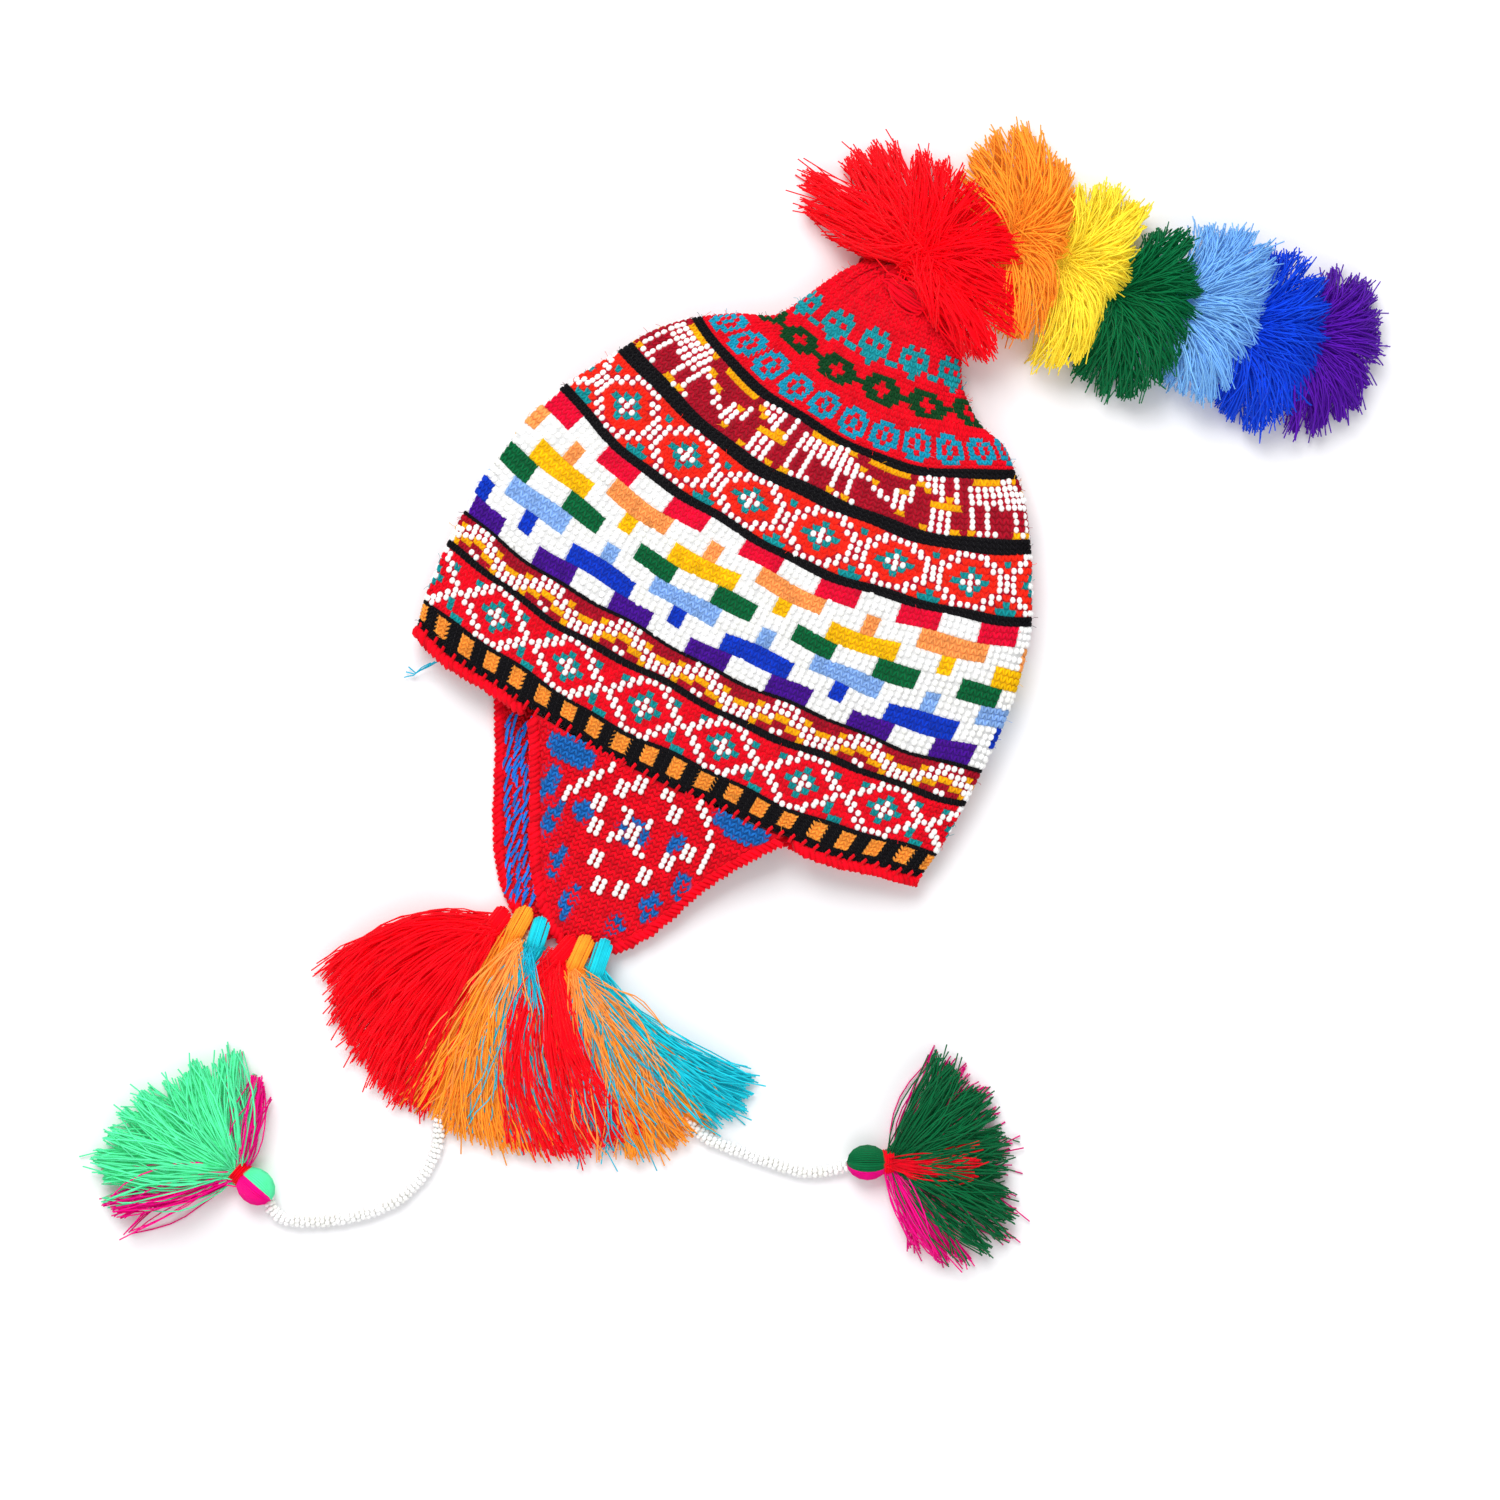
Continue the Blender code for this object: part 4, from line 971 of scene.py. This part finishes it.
def strands_object(name, lines, colours, freedom, replaces=(), width=1.1, wave=2.0, length=34.0):
    """Turns lines with the same number of points into strands of yarn, all as free or by the point."""
    lines = np.asarray(lines)
    count, steps = lines.shape[:2]
    index = np.arange(count * steps).reshape(count, steps)
    edges = np.stack([index[:, :-1].ravel(), index[:, 1:].ravel()], axis=1)
    attributes = {
        "tint": ("FLOAT_COLOR", np.repeat(colours, steps, axis=0)),
        "freedom": ("FLOAT", np.tile(np.broadcast_to(freedom, steps), count)),
        "strand": ("FLOAT", np.repeat(RANDOM.random(count) * 0.5, steps)),
    }
    source = object_of(name + "_lines", lines.reshape(-1, 3), edges=edges.tolist(), attributes=attributes)
    values = {"Strand Width": width, "Wave": wave, "Wave Length": length, "Material": LOOSE_YARN}
    return dress(grown(source, STRANDS, name, values), replaces)


def first_tie():
    """Where the first pompom is tied, past the crown's tip."""
    y = CROWN_LENGTH - HEM_DROP + POMPOM_TIE / 2 + GAP
    return np.array([TIP_SHIFT * CROWN_HALF_WIDTH, y, POMPOM_TIE_HEIGHT])


def curves(first, corner, last, s):
    """Lines from first to last that bend towards their corner."""
    weights = ((1 - s) ** 2, 2 * s * (1 - s), s**2)
    places = (first, corner, last)
    return sum(place[:, None] * weight[None, :, None] for place, weight in zip(places, weights))


def settle(lines, low, height, s):
    """Brings lines from their height at the tie to their own."""
    settled = np.clip(s / SETTLED, 0, 1)
    lines[..., 2] = low * (1 - settled) + height * settled


def fan(start, locks, length, thickness, count, s, ahead=None, root=2.0, base=0.6):
    """Lines that fan out from a tie, with the layer and bearing of each.

    Each follows the locks' reach at its own bearing, and may first lean the way ahead before it bends to it.
    """
    turns, reaches = np.array(sorted(locks), float).T
    weight = np.diff(turns) * (reaches[1:] + reaches[:-1]) / 2
    weight = np.concatenate([[0], np.cumsum(weight)]) / weight.sum()
    turn = np.interp(RANDOM.random(count), weight, turns) + RANDOM.normal(0, 4.0, count)
    clumps = RANDOM.normal(0, 1.0, 400)
    clump = clumps[(turn / 6 + 100).astype(int)]
    turn = turn + clump * 2.5
    short = 1 - np.abs(RANDOM.normal(0, 0.06, count)) + clump * 0.025 + (RANDOM.random(count) < 0.05) * 0.09
    reach = np.interp(turn, turns, reaches) * length * short
    layer = RANDOM.random(count)
    profile = np.interp(s, (0, 0.12, 0.3, 0.62, 0.88, 1.0), (0.30, 0.55, 0.88, 1.0, 0.72, 0.5)) * thickness
    out = bearing(turn)
    side = np.stack([-out[:, 1], out[:, 0], np.zeros(count)], axis=-1)
    first = RANDOM.normal(0, root, (count, 3)) * (1, 1, 0.3)
    bend = side * (RANDOM.normal(0, 0.13, count) * reach)[:, None]
    corner = out * (reach * 0.45)[:, None] + bend
    if ahead is not None:
        corner = corner + ahead * POMPOM_LEAN
    lines = start + curves(first, corner, out * reach[:, None], s)
    height = base + layer[:, None] * (profile[None, :] - 2 * base)
    settle(lines, start[2] + first[:, 2:3], height, s)
    return lines, layer, turn


def with_painted_shade(colours, layer, lowest_shade=0.86):
    """Strands that lie low are a little darker: painted shade from the strands that lie over them."""
    colours[:, :3] *= lowest_shade + (1 - lowest_shade) * layer[:, None]
    return colours


def make_pompoms():
    """Cut yarn tied in the middle, each pompom lying over the one that follows."""
    s = np.linspace(0, 1, STRAND_STEPS)
    ties = [first_tie() + np.array([pompom.along, pompom.up, 0]) * POMPOM_PITCH for pompom in POMPOMS]
    for index, (pompom, start) in enumerate(zip(POMPOMS, ties)):
        followed = index + 1 < len(POMPOMS)
        if followed:
            to_next = ties[index + 1] - start
        ahead = unit(to_next)
        count, lean, root = (POMPOM_STRANDS, ahead, 4.0) if index else (FIRST_POMPOM_STRANDS, None, 6.0)
        lines, layer, _ = fan(start, pompom.locks, POMPOM_LENGTH, POMPOM_THICKNESS, count, s, lean, root)
        if followed:
            beyond = (lines - start) @ ahead - np.linalg.norm(to_next) * OVER_FROM
            lift = OVER_LIFT + OVER_LIFT * (1 - layer[:, None])
            lines[..., 2] += np.clip(beyond / OVER_RUN, 0, 1) * lift
        if index == 0:
            over = np.clip((start[1] - OVER_CROWN_FROM - lines[..., 1]) / OVER_CROWN_RUN, 0, 1)
            lines[..., 2] += over * OVER_CROWN_LIFT
        lines[..., 2] = np.clip(lines[..., 2], LOWEST_YARN, POMPOM_TOP)
        colours = with_painted_shade(tinted(pompom.colour, count, YARN_SPREAD), layer)
        strands_object(pompom.name + "_yarn", lines, colours, 0.2 + 0.8 * s, [pompom.name],
                       width=0.72, wave=3.4, length=22.0)


# The tassels at the flaps' tips: across and down place the tie in ties from the tip, and edge, count and
# lift give how far strands scatter past the outer locks, how many there are, and how much higher they lie
# over others. Each lock has its tip's bearing, its reach as a share of FLAP_TASSEL_LENGTH, and the bearing
# it leaves at.
TASSELS = (
    Tassel("far_tassel_turquoise", "yarn_turquoise", "1CD0E2", "far", 0.32, 0.55, 10, 240, 0.0,
           ((-53, 0.96, -90), (-60, 0.98, -96))),
    Tassel("near_tassel_orange", "yarn_orange", "FFA02C", "near", 0.48, 0.62, 10, 260, 0.0,
           ((-38, 1.02, -42), (-31, 1.04, -36))),
    Tassel("far_tassel_orange", "yarn_orange", "FFA02C", "far", -0.85, 0.62, 10, 450, 0.0,
           ((-89, 0.98, -92), (-79, 1.04, -90), (-69, 1.06, -88), (-60, 1.08, -86))),
    Tassel("near_tassel_red", "yarn_red", "FF0018", "near", -0.55, 0.62, 12, 380, 5.0,
           ((-66, 0.98, -106), (-56, 1.01, -80), (-47, 0.99, -56))),
    Tassel("far_tassel_red", "yarn_red", "FF0018", "far", -1.88, 0.50, 9, 540, 0.0,
           ((-132, 0.90, -172), (-121, 0.94, -150), (-110, 0.97, -128), (-100, 1.00, -110),
             (-92, 1.03, -94))),
    Tassel("near_tassel_turquoise", "yarn_turquoise", "1CD0E2", "near", 1.50, 0.40, 4, 190, 0.0,
           ((-9, 0.97, -28), (-15, 1.03, -30), (-22, 1.00, -33))),
)

# Where each tassel's yarn goes through the flap's edge
LOOPS = {
    "far_tassel_red": (-33, -93), "far_tassel_orange": (-24.5, -88), "far_tassel_turquoise": (-16, -89),
    "near_tassel_red": (0, -91), "near_tassel_orange": (6, -87), "near_tassel_turquoise": (14, -85),
}
LOOP_HALF_WIDTH = 4.0
LOOP_HEIGHT = 3.6

# Single strands over the tassels: across places their start in millimetres from the flap's tip, and their
# bearings lie between low and high
TANGLES = (
    Tangle("near_orange_strays", "yarn_orange", "FFA24A", "near", 7, -60, -10, 110),
    Tangle("near_turquoise_strays", "yarn_turquoise", "18BCD8", "near", 12, -66, -24, 60),
    Tangle("far_orange_strays", "yarn_orange", "FFA24A", "far", -4, -104, -52, 90),
    Tangle("far_turquoise_strays", "yarn_turquoise", "18BCD8", "far", 2, -86, -58, 46),
)


def flap_tip(flap):
    """The tip of a flap's crocheted edge."""
    z = BINDING_THICKNESS / 2 if flap == "far" else NEAR_FLAP_REST
    return np.array([FLAP_X[flap], FLAP_FOOT - GAP - BINDING_WIDTH, z])


def make_flap_tassels():
    """Cut yarn that hangs from each flap's tip, and the loop of it that goes through the edge."""
    s = np.linspace(0, 1, FLAP_TASSEL_STEPS)
    profile = np.interp(s, (0, 0.12, 0.45, 0.75, 1.0), (0.5, 0.8, 1.0, 0.86, 0.5)) * FLAP_TASSEL_THICKNESS
    for tassel in TASSELS:
        tip = flap_tip(tassel.flap)
        height = ROPE_DIAMETER + (GAP if tassel.flap == "far" else BINDING_THICKNESS)
        tie = np.array([tip[0] + tassel.across * FLAP_TIE, tip[1] - tassel.down * FLAP_TIE, height])
        turns, reaches, leads = np.array(sorted(tassel.locks)).T
        count = tassel.count
        turn = RANDOM.uniform(turns[0] - tassel.edge, turns[-1] + tassel.edge, count)
        reach = np.interp(turn, turns, reaches) * FLAP_TASSEL_LENGTH
        reach *= 1 - np.abs(RANDOM.normal(0, 0.05, count)) + (RANDOM.random(count) < 0.05) * 0.06
        lead = np.interp(turn, turns, leads) + RANDOM.normal(0, 7, count)
        layer = RANDOM.random(count)
        first = tie + RANDOM.normal(0, 2.2, (count, 3)) * (1, 1, 0.7)
        corner = tie + bearing(lead) * (reach * 0.5)[:, None]
        lines = curves(first, corner, tie + bearing(turn) * reach[:, None], s)
        raised = tassel.lift * (profile / FLAP_TASSEL_THICKNESS) ** 2
        settle(lines, first[:, 2:3], 0.6 + layer[:, None] * (profile[None, :] - 1.2) + raised, s)
        colours = with_painted_shade(tinted(tassel.colour, count, YARN_SPREAD), layer)
        strands_object(tassel.node + "_yarn", lines, colours, 0.15 + 0.85 * s, [tassel.node],
                       width=0.8, wave=6.5, length=26.0)
        make_loop(tassel, tie)


def make_tangles():
    """Single strands that lie loose across the tassels beside their own."""
    s = np.linspace(0, 1, TANGLE_STEPS)
    top = np.interp(s, (0, 0.3, 0.7, 1), (14, 17, 15, 6))
    for tangle in TANGLES:
        tip = flap_tip(tangle.flap)
        count = tangle.count
        turn = RANDOM.uniform(tangle.low, tangle.high, count)
        reach = RANDOM.uniform(0.70, 0.98, count) * FLAP_TASSEL_LENGTH
        tie = np.array([tip[0] + tangle.across, tip[1] - FLAP_TIE * 0.8, 14.0])
        start = tie + RANDOM.normal(0, 1.5, (count, 3))
        bow = turn + RANDOM.normal(0, 16, count)
        bent = bearing(bow)[:, None] * (2 * s * (1 - s) * 0.5)[None, :, None] * reach[:, None, None]
        straight = bearing(turn)[:, None] * (s**2)[None, :, None] * reach[:, None, None]
        lines = start[:, None] + bent + straight
        lines[..., 2] = top + RANDOM.uniform(-3, 1.0, (count, 1))
        colours = tinted(tangle.colour, count, 0.1)
        strands_object(tangle.name, lines, colours, 0.2 + 0.8 * s, width=0.7, wave=11.0)


def make_loop(tassel, tie):
    """Yarn wound from a tassel's tie through the crocheted edge and back."""
    place = np.array(LOOPS[tassel.node] + (tie[2] + 1.5,))
    away = place - tie
    away[2] = 0
    length = np.linalg.norm(away) / 2 + 2
    away = unit(away)
    side = np.array([-away[1], away[0], 0])
    middle = (tie + place) / 2
    turn = np.linspace(0, 2 * math.pi, 13)
    lines = []
    for k in range(LOOP_STRANDS):
        offset = RANDOM.uniform(-1, 1)
        bulge = math.sqrt(1 - offset**2 * 0.6) * RANDOM.uniform(0.88, 1.0)
        centre = middle + side * offset * LOOP_HALF_WIDTH
        lines.append([centre + away * math.cos(a) * length * bulge + (0, 0, math.sin(a) * LOOP_HEIGHT * bulge)
                      for a in turn])
    lines = np.array(lines)
    lines[..., 2] = np.maximum(lines[..., 2], LOWEST_YARN)
    colours = tinted(tassel.colour, len(lines), YARN_SPREAD)
    strands_object(tassel.node + "_loop", lines, colours, 0.1)


# The ropes' tassels: each lock has its bearing and its reach as a share of END_TASSEL_LENGTH. colours gives
# the strands' colours between two bearings, under that of low strands, head that of the wound head up to
# each share of its way round, and bundle the bearing of a bundle of red strands on top.
END_TASSELS = (
    EndTassel("far_end_tassel", "far",
              ((98, 0.62), (115, 0.92), (136, 0.88), (157, 0.92), (178, 1.00),
               (198, 1.06), (214, 1.10), (228, 0.98)),
              ((-400, 108, "F00088"), (108, 218, "5CF0AC"), (218, 400, "F00088")), None,
              ((0.30, "F00088"), (0.80, "5CF0AC"), (1.01, "F00088")), None),
    EndTassel("near_end_tassel", "near",
              ((95, 0.92), (76, 0.86), (57, 0.88), (37, 0.88), (16, 0.88), (-4, 1.04),
               (-24, 1.00), (-46, 0.72)),
              ((-400, -26, "F00088"), (-26, 400, "00683A")), "F00088",
              ((0.36, "00683A"), (0.60, "F00088"), (1.01, "00683A")), 24),
)

# Routes of the ropes in millimetres from the tip of their flap, with the height above where a rope lies on
# the floor
ROPE_ROUTES = {
    "far": (
        (0, -0.5, 0), (-2, -24, 0), (-2, -62, 0), (-1, -92, 0), (4, -106, 0), (4, -121, 0), (-2, -137, 0),
        (-13, -149, 0), (-25, -158, 0), (-41, -166, 0), (-49.5, -165.5, 0), (-54, -161.5, 0),
    ),
    "near": (
        (0, -1.4, 3.2), (3, -13, 1.8), (24, -27, 0), (57, -39, 0), (89, -47, 0), (104, -47, 0), (122, -45, 0),
        (138, -42, 0), (150, -35.5, 0), (156.5, -29.5, 0),
    ),
}


def rope_route(flap, spacing):
    """The rope's middle line at an even spacing, smooth through its route's points."""
    tip = flap_tip(flap)
    points = np.array(ROPE_ROUTES[flap], float) + (tip[0], tip[1], ROPE_DIAMETER / 2)
    padded = np.concatenate([[points[0] * 2 - points[1]], points, [points[-1] * 2 - points[-2]]])
    dense = []
    for a, b, c, d in zip(padded, padded[1:], padded[2:], padded[3:]):
        t = np.linspace(0, 1, 40, endpoint=False)[:, None]
        bend = (a * 2 - b * 5 + c * 4 - d) * t**2 + (b * 3 - a - c * 3 + d) * t**3
        dense.append((b * 2 + (c - a) * t + bend) / 2)
    dense = np.concatenate(dense + [points[-1:]])
    length = length_along(dense)
    stops = np.linspace(0, length[-1], max(2, round(length[-1] / spacing)) + 1)
    return at_stops(stops, length, dense)


def make_ropes():
    """Seed beads crocheted round a cord, five to a turn, each turn a little further round."""
    for flap in ("near", "far"):
        route = rope_route(flap, ROPE_BEAD_STEP)
        along = unit(np.gradient(route, axis=0))
        side = unit(np.cross(along, (0, 0, 1.0)))
        up = np.cross(side, along)
        items = []
        for i in range(len(route)):
            for k in range(ROPE_BEADS_ROUND):
                turn = 2 * math.pi * (k / ROPE_BEADS_ROUND + ROPE_TWIST * i)
                out = side[i] * math.cos(turn) + up[i] * math.sin(turn)
                radius = ROPE_DIAMETER / 2 - ROPE_BEAD_WIDTH / 2
                place = route[i] + out * radius + RANDOM.normal(0, 0.12, 3)
                tilt = along[i] + np.cross(along[i], out) * ROPE_BEAD_TILT
                items.append((place, unit(np.cross(tilt, out)), unit(tilt)))
        make_beads(f"{flap}_rope_beads", items, ROPE_BEAD_WIDTH, ROPE_BEAD_HEIGHT, [f"{flap}_bead_rope"])
        strands_object(f"{flap}_rope_core", route[None], tinted("D8D6D2", 1, 0), 0.0,
                       width=ROPE_CORD_WIDTH, wave=0.0)


def make_end_tassels():
    """A round head wound with yarn, a red binding at its neck, and the skirt that fans out from it."""
    s = np.linspace(0, 1, STRAND_STEPS)
    count = END_TASSEL_STRANDS
    for tassel in END_TASSELS:
        route = rope_route(tassel.flap, ROPE_POINT_SPACING)
        head = route[-1] + unit(route[-1] - route[-2]) * (END_HEAD_DIAMETER / 2)
        head[2] = END_HEAD_DIAMETER / 2
        middle = sum(turn for turn, _ in tassel.locks) / len(tassel.locks)
        out = bearing(np.array(float(middle)))
        neck = head + out * END_NECK_OFFSET
        lines, layer, turn = fan(neck, tassel.locks, END_TASSEL_LENGTH, END_TASSEL_THICKNESS, count, s)
        colours = np.empty((count, 4))
        blurred = turn + RANDOM.normal(0, 6, count)
        for low, high, colour in tassel.colours:
            chosen = (blurred >= low) & (blurred < high)
            colours[chosen] = tinted(colour, int(chosen.sum()), YARN_SPREAD)
        if tassel.under:
            low = (layer < 0.2) & (RANDOM.random(count) < 0.8)
            colours[low] = tinted(tassel.under, int(low.sum()), YARN_SPREAD)
            lines[low] = neck + (lines[low] - neck) * (1.05, 1.05, 1.0)
        colours = with_painted_shade(colours, layer)
        strands_object(tassel.node + "_yarn", lines, colours, 0.2 + 0.8 * s, [tassel.node],
                       width=0.8, wave=3.0, length=24.0)
        make_head(tassel, head, out)
        make_neck(tassel, neck, out)
        if tassel.bundle:
            make_bundle(tassel, neck, s)


def make_head(tassel, head, out):
    """The wound head: yarn runs over a ball from the rope to the neck."""
    side, up = np.array([-out[1], out[0], 0]), np.array([0, 0, 1.0])
    radius = END_HEAD_DIAMETER / 2 - LOWEST_YARN
    arc = np.linspace(-math.pi / 2, math.pi / 2, 9)
    wound, shades = [], []
    for k in range(WOUND_STRANDS):
        turn = 2 * math.pi * k / WOUND_STRANDS
        way = side * math.cos(turn) + up * math.sin(turn)
        wound.append([head + out * math.sin(a) * (radius + 1.5) + way * (math.cos(a) * radius + 0.2)
                      for a in arc])
        share = (turn / (2 * math.pi) + 0.02) % 1.0
        shades.append(linear(next(colour for limit, colour in tassel.head if share < limit)))
    lines = np.array(wound)
    lines[..., 2] = np.maximum(lines[..., 2], LOWEST_YARN)
    strands_object(tassel.node + "_head", lines, np.array(shades), 0.0, width=1.5, wave=0.0)


def make_neck(tassel, neck, out):
    """Red yarn wound round the neck of a head."""
    side, up = np.array([-out[1], out[0], 0]), np.array([0, 0, 1.0])
    turn = np.linspace(0, 2 * math.pi, 15)
    reach = END_NECK_DIAMETER / 2 - 0.8
    rings = []
    for k in range(5):
        centre = neck + out * (k - 2.6) * 1.1 + np.array([0, 0, -1.2])
        rings.append([centre + (side * math.cos(a) + up * math.sin(a)) * reach for a in turn])
    strands_object(tassel.node + "_neck", rings, tinted("E8001C", len(rings), 0.06), 0.0,
                   width=1.6, wave=0.0)


def make_bundle(tassel, neck, s):
    """A few red strands that lie together on top of the skirt."""
    bundle = tassel.bundle
    locks = ((bundle - 4, 0.66), (bundle, 0.72), (bundle + 4, 0.66))
    start = neck + np.array([0, 0, 3.0])
    lines, _, _ = fan(start, locks, END_TASSEL_LENGTH, 4.0, BUNDLE_STRANDS, s, root=1.2)
    lines[..., 2] += np.clip(s / SETTLED, 0, 1) * 15
    colours = tinted("E0001E", BUNDLE_STRANDS, YARN_SPREAD)
    strands_object(tassel.node + "_bundle", lines, colours, 0.2 + 0.8 * s, width=0.8, wave=3.0)


def make_binding(name, route, ups):
    """A crocheted edge: loops of yarn wound along a route."""
    along = unit(np.gradient(route, axis=0))
    out = unit(np.cross(along, ups))
    length = length_along(route)
    stops = np.arange(CROCHET_STEP, length[-1], CROCHET_STEP)
    place = at_stops(stops, length, route)
    a, o = unit(at_stops(stops, length, along)), unit(at_stops(stops, length, out))
    u = np.cross(o, a)
    turn = np.linspace(0, 2 * math.pi, 9)
    half_width, half_thickness = BINDING_WIDTH / 2 - 0.9, BINDING_THICKNESS / 2 - 0.9
    lines = place[:, None, :] + (
        o[:, None, :] * (np.cos(turn) * half_width)[None, :, None]
        + u[:, None, :] * (np.sin(turn) * half_thickness)[None, :, None]
        + a[:, None, :] * (np.cos(turn) * 1.5 + 0.5 * np.sin(turn))[None, :, None]
    )
    lines[..., 2] = np.maximum(lines[..., 2], 0.9)
    lines += RANDOM.normal(0, 0.22, (len(stops), 1, 3)) * (1, 1, 0.3)
    colours = tinted("EC001C", len(stops), 0.10)
    strands_object(name + "_crochet", lines, colours, 0.0, [name], width=CROCHET_WIDTH, wave=0.0)


def make_bindings():
    """The crocheted edges round both flaps, and along the hem beside them."""
    drops = np.linspace(0, 1, 60)
    for flap in ("near", "far"):
        offset = GAP + BINDING_WIDTH / 2
        left = flap_surface(flap, FLAP_X[flap] - half_width_at(drops), drops)
        right = flap_surface(flap, FLAP_X[flap] + cloth_width(flap, drops, 1), drops)
        edge = np.concatenate([left, right[::-1]])
        keep = np.concatenate([[True], np.linalg.norm(np.diff(edge, axis=0), axis=1) > 0.3])
        edge = edge[keep]
        ups = np.tile((0.0, 0.0, 1.0), (len(edge), 1))
        out = unit(np.cross(unit(np.gradient(edge, axis=0)), ups))
        make_binding(f"{flap}_flap_binding", edge + out * offset, ups)
    hem = ring(-HEM_DROP)
    room = FLAP_HALF_WIDTH + GAP + BINDING_WIDTH + 2 * GAP
    for name, side in (("hem_binding_left", -1), ("hem_binding_right", 1)):
        points = hem if side > 0 else hem[::-1]
        half = points[: RING_SAMPLES // 2 + 1]
        back = half[:, 2] < CROWN_SECTIONS[0].depth * FOLD_HEIGHT
        start = side * (half[:, 0] - FLAP_X["near"]) > room
        end = side * (half[:, 0] - FLAP_X["far"]) > room
        route = half[np.where(back, end, start)][::4]
        along = unit(np.gradient(route, axis=0))
        inward = unit(np.stack([along[:, 2], np.zeros(len(route)), -along[:, 0]], axis=1)) * side
        route = route + inward * (BINDING_THICKNESS / 2) + (0, -(GAP + BINDING_WIDTH / 2) + EDGE_OVERLAP, 0)
        make_binding(name, route, -inward)


def make_hem_stitches():
    """Red yarn that holds the edge to the black band in short stitches, and a cut end of turquoise."""
    low, high = ring(-HEM_DROP), ring(-HEM_DROP + WHIP_HEIGHT)
    length = np.linalg.norm(np.diff(low, axis=0), axis=1).sum()
    shares = np.arange(0, 1, WHIP_STEP / length)
    foot, top = on_ring(low, shares), on_ring(high, shares + WHIP_SLANT)
    near = foot[:, 2] > CROWN_SECTIONS[0].depth * FOLD_HEIGHT * 0.9
    foot, top = foot[near], top[near]
    middle = (foot + top) / 2
    lines = np.stack([foot + (0, -1.6, -1.0), foot + (0, 0.6, 0.2), middle + (0, 0, 0.5), top + (0, 0, -0.3)],
                     axis=1)
    lines += RANDOM.normal(0, 0.3, (len(foot), 1, 3)) * (1, 1, 0.2)
    colours = tinted("E60018", len(foot), 0.1)
    strands_object("hem_whip_stitches", lines, colours, 0.0, width=2.0, wave=0.0)
    strays = []
    for k in range(3):
        start = np.array((-113.0 + k, -7.0 + k, 9.0))
        ways = ((0, 0, 0), (-3, -4, -3), (-5 - k, -9, -6), (-9 - k, -12 + 2 * k, -7.5))
        strays.append([start + way for way in ways])
    strands_object("stray_turquoise_end", strays, tinted("14B8D8", 3), 1.0, width=0.7)


def make_tip_knot():
    """The lump of red yarn that closes the crown's tip: strands wound from one end of it to the other."""
    ends = np.array(((-4.4, 238.0, 25.0), (12.6, 235.5, 24.0)))
    middle = ends.mean(axis=0)
    along = unit(ends[1] - ends[0])
    side = unit(np.cross((0, 0, 1.0), along))
    up = np.cross(along, side)
    arc = np.linspace(-math.pi / 2, math.pi / 2, 9)
    half_length, radius = 8.0, 3.6
    lines = []
    for k in range(WOUND_STRANDS):
        turn = 2 * math.pi * k / WOUND_STRANDS
        way = (side * math.cos(turn) + up * math.sin(turn)) * radius * RANDOM.uniform(0.6, 1.15)
        sway = along * RANDOM.normal(0, 2.0) + side * RANDOM.normal(0, 1.2)
        lines.append([middle + sway + along * math.sin(a) * half_length + way * math.cos(a) for a in arc])
    colours = tinted("E8001E", WOUND_STRANDS, 0.16)
    strands_object("crown_tip_knot", lines, colours, 0.4, width=1.3, wave=3.5)


# The stage in metres and watts. The camera looks straight down and is turned, so that the hat lies as in
# the view that it is made from.
FLOOR_SIDE = 6.0
FLOOR_HEIGHT = -0.0003
LIGHTS = (("key", (-1.0, 1.2, 2.2), 1.5, 52), ("fill", (1.1, -1.3, 2.2), 2.0, 16))
LENS = 90
SENSOR_WIDTH = 36
VIEW_WIDTH = 0.675
VIEW_HEIGHT = 0.020
VIEW_MIDDLE = (0.0336, 0.0223)
VIEW_TURN = 26.565


def make_stage():
    """A white floor, soft light from above, and the camera straight over the hat."""
    mesh = bpy.data.meshes.new("floor")
    corners = [(x * FLOOR_SIDE, y * FLOOR_SIDE, 0) for x, y in ((-1, -1), (1, -1), (1, 1), (-1, 1))]
    mesh.from_pydata(corners, [], [(0, 1, 2, 3)])
    floor = bpy.data.objects.new("floor", mesh)
    floor.location.z = FLOOR_HEIGHT
    bpy.context.scene.collection.objects.link(floor)
    material = bpy.data.materials.new("white_paper")
    material.use_nodes = True
    shader = material.node_tree.nodes["Principled BSDF"]
    shader.inputs["Base Color"].default_value = linear("F6F6F8")
    shader.inputs["Roughness"].default_value = 0.9
    mesh.materials.append(material)
    world = bpy.data.worlds.new("studio")
    bpy.context.scene.world = world
    world.use_nodes = True
    world.node_tree.nodes["Background"].inputs["Color"].default_value = (1, 1, 1, 1)
    world.node_tree.nodes["Background"].inputs["Strength"].default_value = 0.62
    for name, place, size, energy in LIGHTS:
        light = bpy.data.lights.new(name, "AREA")
        light.size = size
        light.energy = energy
        lamp = bpy.data.objects.new(name, light)
        lamp.location = place
        lamp.rotation_mode = "QUATERNION"
        lamp.rotation_quaternion = Vector(place).to_track_quat("Z", "Y")
        bpy.context.scene.collection.objects.link(lamp)
    bpy.context.scene.view_settings.view_transform = "Standard"
    camera = bpy.data.cameras.new("camera")
    camera.lens = LENS
    camera.sensor_width = SENSOR_WIDTH
    eye = bpy.data.objects.new("camera", camera)
    eye.location = (*VIEW_MIDDLE, VIEW_HEIGHT + VIEW_WIDTH / SENSOR_WIDTH * LENS)
    eye.rotation_euler = (0, 0, math.radians(VIEW_TURN))
    bpy.context.scene.collection.objects.link(eye)
    bpy.context.scene.camera = eye


make_stage()
make_crown()
make_flap("near")
make_flap("far")
make_bindings()
make_hem_stitches()
make_tip_knot()
make_ropes()
make_pompoms()
make_flap_tassels()
make_tangles()
make_end_tassels()
